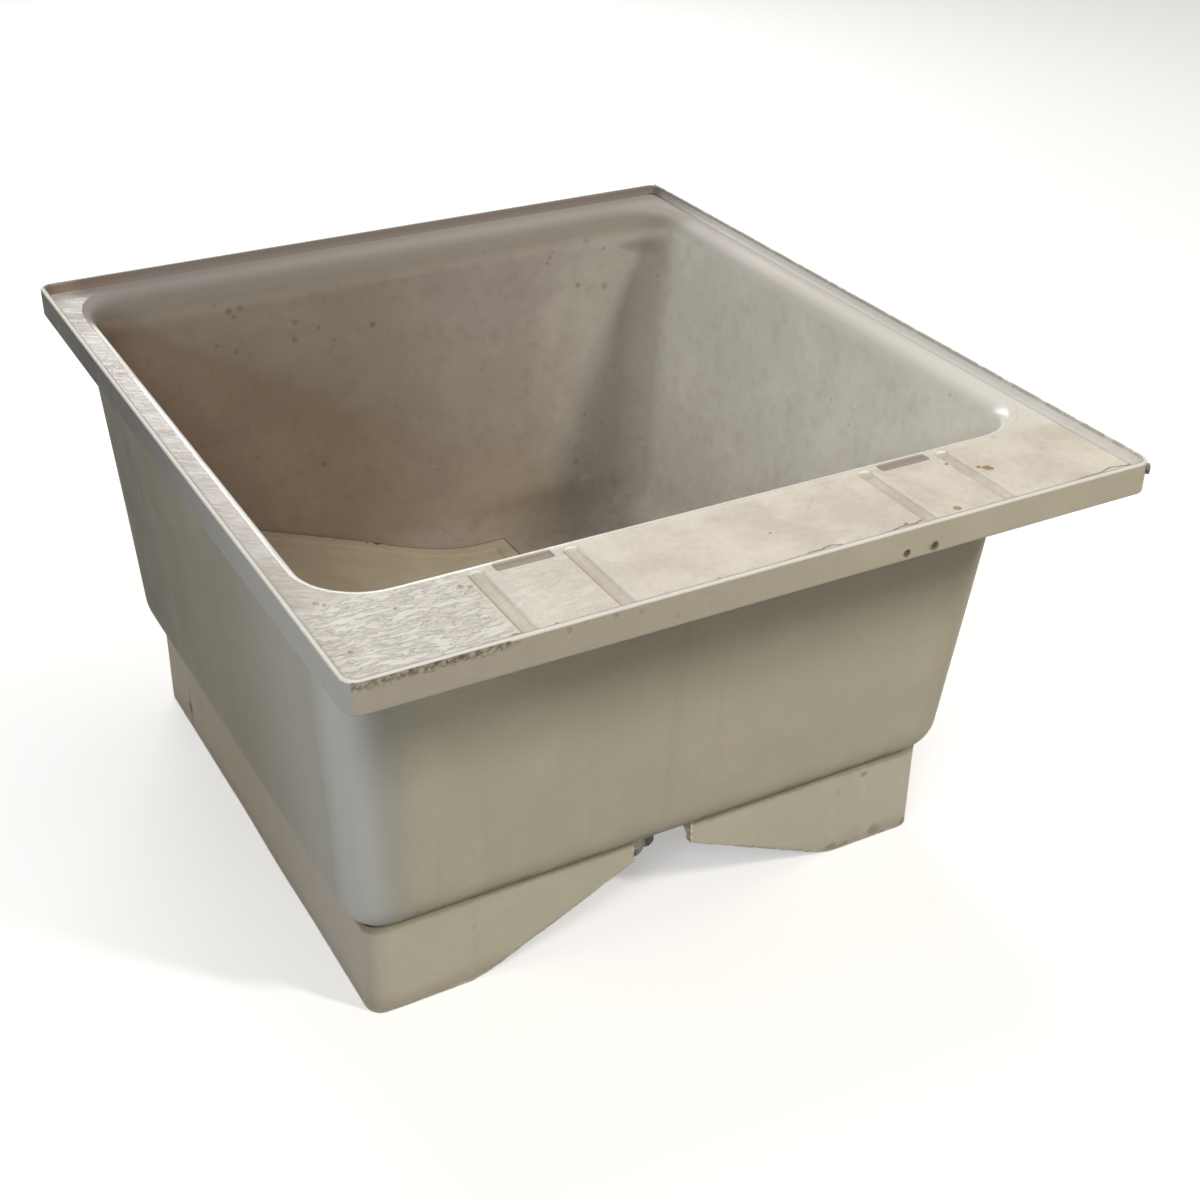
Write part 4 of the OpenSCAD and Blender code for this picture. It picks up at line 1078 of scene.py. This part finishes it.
def coat_relief(coat):
    """Fine unevenness everywhere; flakes, peeling edges and chips stand out more."""
    on_deck = coat.on_deck * coat.ledge
    scraped = (coat.flakes * coat.scraped - coat.flake_rims * 0.6) * on_deck
    peeled = (coat.peeled * -0.7 - coat.peel_rim * 0.5) * on_deck
    chipped = coat.chips * -1.0 + coat.apron_chips * (coat.mottle * 1.5 - 1.8)
    relief_map = coat.bump(coat.blotch, 0.0009, coat.bump(coat.grain, 0.00006))
    relief_map = coat.bump(scraped * 0.35 + peeled + chipped, 0.00045, relief_map)
    return coat.bump(coat.ramp(coat.smear, 0.40, 0.62) * coat.glossy_ledge, 0.0005, relief_map)


def paint_basin():
    """Worn gel coat: cream outside, scraped and peeling on the deck, stained brown in the bowl."""
    coat = GelCoat()
    x, y, inside, mouth = coat.x, coat.y, coat.inside, coat.mouth
    raw = coat.mix(coat.mottle, (0.36, 0.34, 0.26), (0.50, 0.47, 0.37))
    colour = coat.mix(coat.under * 0.8, outer_walls(coat), raw)
    colour = coat.mix(inside, colour, bowl_film(coat))
    side_tone = coat.mix(coat.on_deck, side_ledges(coat), deck_top(coat))
    side_tone = peeling(coat, grooves_and_pockets(coat, side_tone))
    level = coat.most(coat.ledge, mouth * (1 - coat.ramp(inside, 0.55, 1.0)))
    colour = coat.mix(level, colour, side_tone)
    # Painted shade: the back roll is darkened to dim the lit band on it.
    back_roll_shade = mouth * coat.ramp(y, 0.26, 0.29) * coat.band(inside, 0.40, 0.85, 0.15)
    colour = mouth_edge(coat, coat.tint(back_roll_shade, colour, (0.74, 0.72, 0.69)))
    colour = apron_front(coat, rim_lip(coat, colour, side_tone))
    colour = coat.speckle(coat.grain, 0.16, colour)
    worn = coat.ramp(y, 0.20, 0.10) * 0.45 + coat.on_deck * coat.ramp(x, 0.22, 0.18) * 0.45
    wet = coat.left_ledge * coat.ramp(coat.smear, 0.40, 0.62) * 0.30
    coat.set("Coat Weight", mouth * worn + wet)
    return coat.finish(colour, coat_roughness(coat), coat_relief(coat))


def paint_skirt():
    """The base strip: the same gel coat, duller, with grey smudges and a raw edge where it was cut; painted
    shade darkens its left side towards the back, and dirt with painted shade darkens its top where the bowl
    sits on it.
    """
    paint = Paint("skirt_gelcoat", Specular_IOR_Level=0.16)
    x, y, z = paint.x, paint.y, paint.z
    cut = paint.mark("cut")
    cloud, blotch = paint.noise(5.5, 3.0), paint.noise(26.0, 5.0, 0.62)
    mottle, grain = paint.noise(95.0, 4.0, 0.6), paint.noise(700.0, 2.0)
    colour = paint.mix(cloud, (0.500, 0.460, 0.350), (0.580, 0.540, 0.420))
    # Painted shade: the skirt's left side darkens towards the back.
    shaded_left_side = paint.mix(paint.ramp(y, -0.18, 0.08), (0.450, 0.400, 0.335), (0.340, 0.285, 0.205))
    colour = paint.mix(paint.ramp(x, -0.235, -0.252), colour, shaded_left_side)
    colour = paint.tint(paint.ramp(blotch, 0.42, 0.70) * 0.5, colour, (1.10, 1.10, 1.11))
    right_foot = paint.ramp(x + (blotch - 0.5) * 0.05, 0.155, 0.185)
    smudge = paint.noise(24.0, 5.0, 0.7, place=paint.stretched((1.0, 1.0, 0.45)), warp=0.5)
    colour = paint.mix(right_foot * paint.ramp(smudge, 0.42, 0.62) * 0.45, colour, (0.560, 0.535, 0.460))
    colour = paint.mix(right_foot * paint.ramp(smudge, 0.56, 0.70) * 0.30, colour, (0.700, 0.675, 0.600))
    # Dirt and painted shade: the skirt darkens towards its top, where the bowl sits on it.
    contact_shade_and_dirt = paint.ramp(z + (mottle - 0.5) * 0.004, UNDER + 1 * MM, UNDER + 8 * MM)
    colour = paint.tint(contact_shade_and_dirt * 0.75, colour, (0.42, 0.36, 0.28))
    splash = paint.ramp(z + (blotch - 0.5) * 0.030 + (mottle - 0.5) * 0.012, 0.020, 0.002)
    colour = paint.tint(splash * 0.40, colour, (0.62, 0.54, 0.44))
    marks = stains(paint, SKIRT_MARKS, 1.6, 120.0)
    colour = paint.tint(marks * 0.55, colour, (0.46, 0.39, 0.32))
    crack = paint.noise(20.0, 4.0, place=paint.stretched((1.0, 1.0, 0.2)))
    crack_line = (paint.band(y - 0.212 + (crack - 0.5) * 0.03, -0.6 * MM, 0.6 * MM, 0.5 * MM)
                  * paint.ramp(x, -0.245, -0.250) * paint.band(z, 0.004, 0.046, 0.004))
    colour = paint.tint(crack_line * 0.9, colour, (0.22, 0.15, 0.10))
    fibres = paint.noise(160.0, 4.0, 0.7, place=paint.stretched((0.5, 0.5, 2.5)))
    raw = paint.mix(paint.ramp(fibres, 0.40, 0.62), (0.50, 0.44, 0.33), (0.82, 0.80, 0.74))
    colour = paint.mix(paint.ramp(cut, 0.15, 0.65), colour, raw)
    colour = paint.speckle(grain, 0.18, colour)
    rough = 0.50 + (blotch - 0.5) * 0.25 + marks * 0.2 + cut * 0.25 - right_foot * 0.05
    relief_map = paint.bump(grain, 0.00008)
    relief_map = paint.bump(blotch, 0.0012, relief_map)
    relief_map = paint.bump(fibres * cut - crack_line * 1.5 - marks * 0.4, 0.0006, relief_map)
    return paint.finish(colour, rough, relief_map)


def paint_board():
    """The loose board: cleaner cream gel coat, with dirt along its border and in its corners, and painted
    shade towards its left end.
    """
    paint = Paint("board_gelcoat", Specular_IOR_Level=0.16)
    margin, field = paint.mark("margin"), paint.mark("field")
    x, y = paint.x, paint.y
    cloud, blotch = paint.noise(6.0, 3.0), paint.noise(28.0, 5.0, 0.6)
    mottle, grain = paint.noise(110.0, 4.0, 0.65), paint.noise(700.0, 2.0)
    colour = paint.mix(cloud, (0.400, 0.345, 0.250), (0.480, 0.425, 0.315))
    # Painted shade: the board darkens towards its left end, in the shadow of the left wall.
    colour = paint.tint(paint.ramp(x, 0.02, -0.22), colour, (0.62, 0.56, 0.52))
    colour = paint.tint(paint.ramp(blotch, 0.42, 0.66) * 0.6, colour, (1.14, 1.14, 1.14))
    edge_dirt = paint.ramp(margin + (mottle - 0.5) * 0.10, 0.15, 0.04)
    colour = paint.tint(edge_dirt * 0.9, colour, (0.30, 0.24, 0.19))
    step = field * (1 - field) * 4
    colour = paint.tint(step * paint.ramp(mottle, 0.25, 0.60) * 0.25, colour, (0.60, 0.52, 0.42))
    grit = stains(paint, BOARD_GRIT, 1.4, 260.0)
    colour = paint.mix(grit, colour, (0.060, 0.045, 0.035))
    runs = paint.noise(34.0, 4.0, 0.65, place=paint.stretched((0.25, 1.0, 1.0)))
    colour = paint.tint(paint.ramp(runs, 0.54, 0.72) * 0.35, colour, (0.76, 0.68, 0.56))
    colour = paint.speckle(grain, 0.15, colour)
    rough = 0.48 + (blotch - 0.5) * 0.22 + edge_dirt * 0.2 + grit * 0.2
    relief_map = paint.bump(grain, 0.00006)
    relief_map = paint.bump(blotch, 0.0008, relief_map)
    relief_map = paint.bump(grit + edge_dirt * mottle * 0.4, 0.0008, relief_map)
    return paint.finish(colour, rough, relief_map)


def paint_laminate():
    """Chopped glass strands under resin: straw coloured, with strands that show at random."""
    paint = Paint("glass_laminate")
    cloud, mottle = paint.noise(9.0, 4.0), paint.noise(70.0, 5.0, 0.65)
    strands = None
    for turn in ((1.0, 0.12, 0.5), (0.12, 1.0, 0.5), (0.6, 0.6, 0.1)):
        one = paint.ramp(paint.noise(260.0, 2.0, 0.5, place=paint.stretched(turn), warp=0.6), 0.54, 0.66)
        strands = one if strands is None else paint.most(strands, one)
    colour = paint.mix(cloud, (0.44, 0.37, 0.22), (0.56, 0.50, 0.34))
    colour = paint.mix(strands * 0.55, colour, (0.70, 0.67, 0.54))
    colour = paint.tint(paint.ramp(mottle, 0.50, 0.70) * 0.5, colour, (0.60, 0.50, 0.36))
    rough = 0.38 + strands * 0.22 + (mottle - 0.5) * 0.2
    relief_map = paint.bump(strands, 0.0004)
    return paint.finish(colour, rough, paint.bump(mottle, 0.0022, relief_map))


def paint_plywood():
    """Plywood with its grain along X, plies at its edges and a thin coat of resin."""
    paint = Paint("resin_plywood", Coat_Roughness=0.3)
    grain = paint.noise(9.0, 7.0, 0.62, place=paint.stretched((0.9, 14.0, 14.0)), warp=0.5)
    pores = paint.ramp(paint.noise(60.0, 3.0, 0.6, place=paint.stretched((0.5, 16.0, 16.0))), 0.55, 0.68)
    plies = paint.node("TexWave", {"bands_direction": "Z"}, Vector=paint.place, Scale=95.0, Distortion=1.2,
                       Detail=2.0, output="Fac")
    colour = paint.mix(grain, (0.36, 0.235, 0.120), (0.56, 0.410, 0.240))
    colour = paint.tint(pores * 0.6, colour, (0.55, 0.42, 0.30))
    colour = paint.tint(paint.ramp(plies, 0.55, 0.75) * 0.35, colour, (0.62, 0.50, 0.38))
    drips = paint.noise(15.0, 4.0, 0.6)
    colour = paint.mix(paint.ramp(drips, 0.54, 0.64) * 0.4, colour, (0.52, 0.45, 0.27))
    rough = 0.58 - paint.ramp(drips, 0.50, 0.62) * 0.25 + pores * 0.1
    paint.set("Coat Weight", paint.ramp(drips, 0.50, 0.62) * 0.5)
    return paint.finish(colour, rough, paint.bump(grain - pores * 0.5, 0.0005))


def paint_steel():
    """Sheet steel with turning marks, dulled by limescale that gathers in patches."""
    paint = Paint("scaled_steel")
    spin = paint.away(tuple(DRAIN.xy) + (0,), (1, 1, 0))
    turned = paint.node("TexNoise", {"noise_dimensions": "1D"}, W=spin, Scale=2600.0, Detail=3.0,
                        output="Fac")
    patch, fine = paint.noise(42.0, 5.0, 0.65), paint.noise(420.0, 3.0, 0.6)
    crust = paint.ramp(patch + (fine - 0.5) * 0.2, 0.50, 0.62)
    clean = paint.ramp(turned, 0.35, 0.70) * 0.5 + (patch - 0.5) * 0.6
    colour = paint.mix(clean, (0.40, 0.39, 0.37), (0.62, 0.62, 0.60))
    colour = paint.mix(crust * 0.8, colour, (0.60, 0.57, 0.49))
    paint.set("Metallic", 1.0 - crust * 0.85)
    rough = 0.26 + turned * 0.12 + (patch - 0.5) * 0.2 + crust * 0.4
    relief_map = paint.bump(turned, 0.00003)
    return paint.finish(colour, rough, paint.bump(crust * fine, 0.0004, relief_map))


def paint_tube():
    """The waste tube: plating gone dull and brown, with dark tarnish and a little scale."""
    paint = Paint("tarnished_tube")
    runs = paint.noise(55.0, 5.0, 0.65, place=paint.stretched((1.0, 1.0, 0.3)))
    fine = paint.noise(380.0, 3.0, 0.6)
    tarnish = paint.ramp(runs + (fine - 0.5) * 0.15, 0.38, 0.62)
    colour = paint.mix(tarnish, (0.30, 0.27, 0.23), (0.095, 0.078, 0.060))
    bloom = paint.ramp(paint.noise(90.0, 4.0, 0.7), 0.60, 0.72)
    colour = paint.mix(bloom * 0.5, colour, (0.33, 0.31, 0.26))
    paint.set("Metallic", 0.9 - tarnish * 0.5 - bloom * 0.3)
    rough = 0.34 + tarnish * 0.22 + bloom * 0.2
    return paint.finish(colour, rough, paint.bump(fine, 0.00012))


def paint_brass():
    """Cast brass, oxidised brown in patches, with spots of verdigris."""
    paint = Paint("dull_brass")
    patch, fine = paint.noise(60.0, 5.0, 0.62), paint.noise(520.0, 3.0, 0.6)
    oxide = paint.ramp(patch, 0.40, 0.66)
    colour = paint.mix(oxide, (0.66, 0.49, 0.22), (0.24, 0.155, 0.068))
    verdigris = paint.ramp(paint.noise(85.0, 4.0, 0.7), 0.66, 0.74)
    colour = paint.mix(verdigris * 0.6, colour, (0.20, 0.32, 0.25))
    paint.set("Metallic", 1.0 - oxide * 0.25 - verdigris * 0.6)
    return paint.finish(colour, 0.32 + oxide * 0.22 + verdigris * 0.3, paint.bump(fine, 0.00010))


def paint_rubber():
    """Black rubber with a dusty grey bloom."""
    paint = Paint("black_rubber")
    bloom, fine = paint.noise(70.0, 4.0, 0.6), paint.noise(900.0, 2.0)
    colour = paint.mix(paint.ramp(bloom, 0.40, 0.72), (0.020, 0.020, 0.020), (0.085, 0.080, 0.074))
    return paint.finish(colour, 0.66 + bloom * 0.18, paint.bump(fine, 0.00010))


def paint_fibre():
    """Red vulcanised fibre, darker where it is wet."""
    paint = Paint("red_fibre")
    felt = paint.noise(340.0, 4.0, 0.7, place=paint.stretched((1.0, 1.0, 3.0)))
    damp = paint.noise(55.0, 4.0)
    colour = paint.mix(felt, (0.330, 0.105, 0.060), (0.520, 0.210, 0.140))
    colour = paint.tint(paint.ramp(damp, 0.48, 0.66) * 0.6, colour, (0.55, 0.46, 0.42))
    return paint.finish(colour, 0.62 + felt * 0.2, paint.bump(felt, 0.0002))


def paint_sealant():
    """Old sealant: dirty grey brown crust, almost black in its pits."""
    paint = Paint("old_sealant")
    lumps, fine = paint.noise(160.0, 5.0, 0.7), paint.noise(800.0, 3.0)
    colour = paint.mix(paint.ramp(lumps, 0.38, 0.60), (0.070, 0.055, 0.042), (0.330, 0.290, 0.235))
    colour = paint.mix(paint.ramp(lumps, 0.62, 0.72), colour, (0.560, 0.520, 0.440))
    return paint.finish(colour, 0.62 + fine * 0.2, paint.bump(lumps, 0.0012))


def wear(piece, material):
    """Gives a piece one finish in place of what it had."""
    piece.data.materials.clear()
    piece.data.materials.append(material)


SHARP_KEPT = ("skirt_bond", "floor_stiffener", "lint_basket", "strainer_plate")


def finish_pieces():
    """Puts a finish on every piece, and softens the edges of the turned and cast ones."""
    laminate, steel, rubber, tube = paint_laminate(), paint_steel(), paint_rubber(), paint_tube()
    board_coat, sealant_coat = paint_board(), paint_sealant()
    wear(basin, paint_basin())
    wear(skirt, paint_skirt())
    for piece in (board, leg):
        wear(piece, board_coat)
    for piece in (sealant, corner_crust, corner_bead, back_blob):
        wear(piece, sealant_coat)
    own = {"skirt_bond": laminate, "floor_stiffener": paint_plywood(), "drain_body": steel,
           "flange_seal": rubber, "under_gasket": rubber, "fibre_washer": paint_fibre(),
           "drain_locknut": paint_brass(), "lint_basket": steel, "strainer_plate": steel,
           "strainer_screws": steel, "tail_seal": rubber, "coupling_nut": tube, "tailpiece": tube}
    for node, material in own.items():
        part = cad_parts[node]
        wear(part, material)
        if node not in SHARP_KEPT:
            soften(part, 0.35 * MM)


finish_pieces()

# ---- light, floor and camera ----

LAMPS_AIM = Vector((0, 0, 0.25))


def soft_lamp(name, place, size, power, colour=(1, 1, 1)):
    """A rectangular lamp, aimed at the middle of the sink."""
    data = bpy.data.lights.new(name, "AREA")
    data.shape, data.size, data.size_y = "RECTANGLE", size[0], size[1]
    data.energy, data.color = power, colour
    lamp = bpy.data.objects.new(name, data)
    lamp.location = place
    lamp.rotation_euler = (LAMPS_AIM - Vector(place)).to_track_quat("-Z", "Y").to_euler()
    bpy.context.scene.collection.objects.link(lamp)


def light_scene():
    """One warm key from the front right, and softer lamps round the sink."""
    soft_lamp("lamp_key", (1.25, -2.10, 2.44), (0.25, 0.70), 46, (1.0, 0.95, 0.87))
    soft_lamp("lamp_top_back", (0.2, 0.9, 3.0), (1.6, 1.6), 21)
    soft_lamp("lamp_left_front", (-1.8, -2.2, 2.6), (0.8, 0.8), 25)
    soft_lamp("lamp_left_low", (-2.45, -1.45, 1.4), (0.8, 0.8), 26, (0.93, 0.97, 1.0))
    soft_lamp("lamp_front_low", (0.3, -1.9, 0.25), (1.6, 0.4), 1.5)
    soft_lamp("lamp_back_low", (0.4, 3.0, 1.7), (2.0, 0.8), 42)


def white_rays(tree):
    """1 for the rays that see the background: straight, mirrored or through glass."""
    ray = tree.nodes.new("ShaderNodeLightPath")
    total = ray.outputs["Is Camera Ray"]
    for other in ("Is Glossy Ray", "Is Transmission Ray"):
        either = tree.nodes.new("ShaderNodeMath")
        either.operation = "MAXIMUM"
        tree.links.new(total, either.inputs[0])
        tree.links.new(ray.outputs[other], either.inputs[1])
        total = either.outputs[0]
    return total


def plain_shader(tree, kind, colour, strength=None):
    """A shader of one colour, and of one strength if it gives light."""
    made = tree.nodes.new("ShaderNode" + kind)
    made.inputs["Color"].default_value = (*colour, 1)
    if strength is not None:
        made.inputs["Strength"].default_value = strength
    return made.outputs[0]


def show_by_ray(tree, lit, shown, out_kind):
    """One shader for the rays that light the sink, another for those that see the background."""
    pick = tree.nodes.new("ShaderNodeMixShader")
    out = tree.nodes.new("ShaderNodeOutput" + out_kind)
    for socket, value in zip(pick.inputs, (white_rays(tree), lit, shown)):
        tree.links.new(value, socket)
    tree.links.new(pick.outputs[0], out.inputs["Surface"])


def white_world():
    """A dim warm room that shows as plain white."""
    world = bpy.data.worlds.new("studio")
    bpy.context.scene.world = world
    world.use_nodes = True
    tree = world.node_tree
    tree.nodes.clear()
    dim_room = plain_shader(tree, "Background", (1.0, 0.985, 0.96), 0.15)
    white = plain_shader(tree, "Background", (0.8, 0.8, 0.8), 1.0)
    show_by_ray(tree, dim_room, white, "World")


def lay_floor():
    """A pale floor that glows a little where it is seen, and throws less light back on the sink."""
    mesh = bpy.data.meshes.new("floor")
    reach = 12.0
    mesh.from_pydata([(-reach, -reach, 0), (reach, -reach, 0), (reach, reach, 0), (-reach, reach, 0)],
                     [], [(0, 1, 2, 3)])
    floor = bpy.data.objects.new("floor", mesh)
    bpy.context.scene.collection.objects.link(floor)
    material = bpy.data.materials.new("pale_floor")
    material.use_nodes = True
    tree = material.node_tree
    tree.nodes.clear()
    seen = tree.nodes.new("ShaderNodeAddShader")
    tree.links.new(plain_shader(tree, "BsdfDiffuse", (0.80, 0.79, 0.77)), seen.inputs[0])
    tree.links.new(plain_shader(tree, "Emission", (1, 1, 1), 0.40), seen.inputs[1])
    dim = plain_shader(tree, "BsdfDiffuse", (0.28, 0.275, 0.26))
    show_by_ray(tree, dim, seen.outputs[0], "Material")
    mesh.materials.append(material)


def place_camera():
    """The camera at the photograph's angle, as fitted to the rim, the walls and the skirt."""
    data = bpy.data.cameras.new("camera")
    data.lens, data.sensor_width = 53.7, 36.0
    camera = bpy.data.objects.new("camera", data)
    right = (0.87533, -0.48337, 0.01244)
    up = (0.23962, 0.45599, 0.85712)
    back = (-0.41998, -0.74728, 0.51496)
    turn = Matrix((right, up, back)).transposed().to_4x4()
    camera.matrix_world = Matrix.Translation((-0.5900, -1.1454, 0.9547)) @ turn
    bpy.context.scene.collection.objects.link(camera)
    bpy.context.scene.camera = camera


light_scene()
white_world()
lay_floor()
place_camera()
bpy.context.scene.view_settings.view_transform = "Standard"
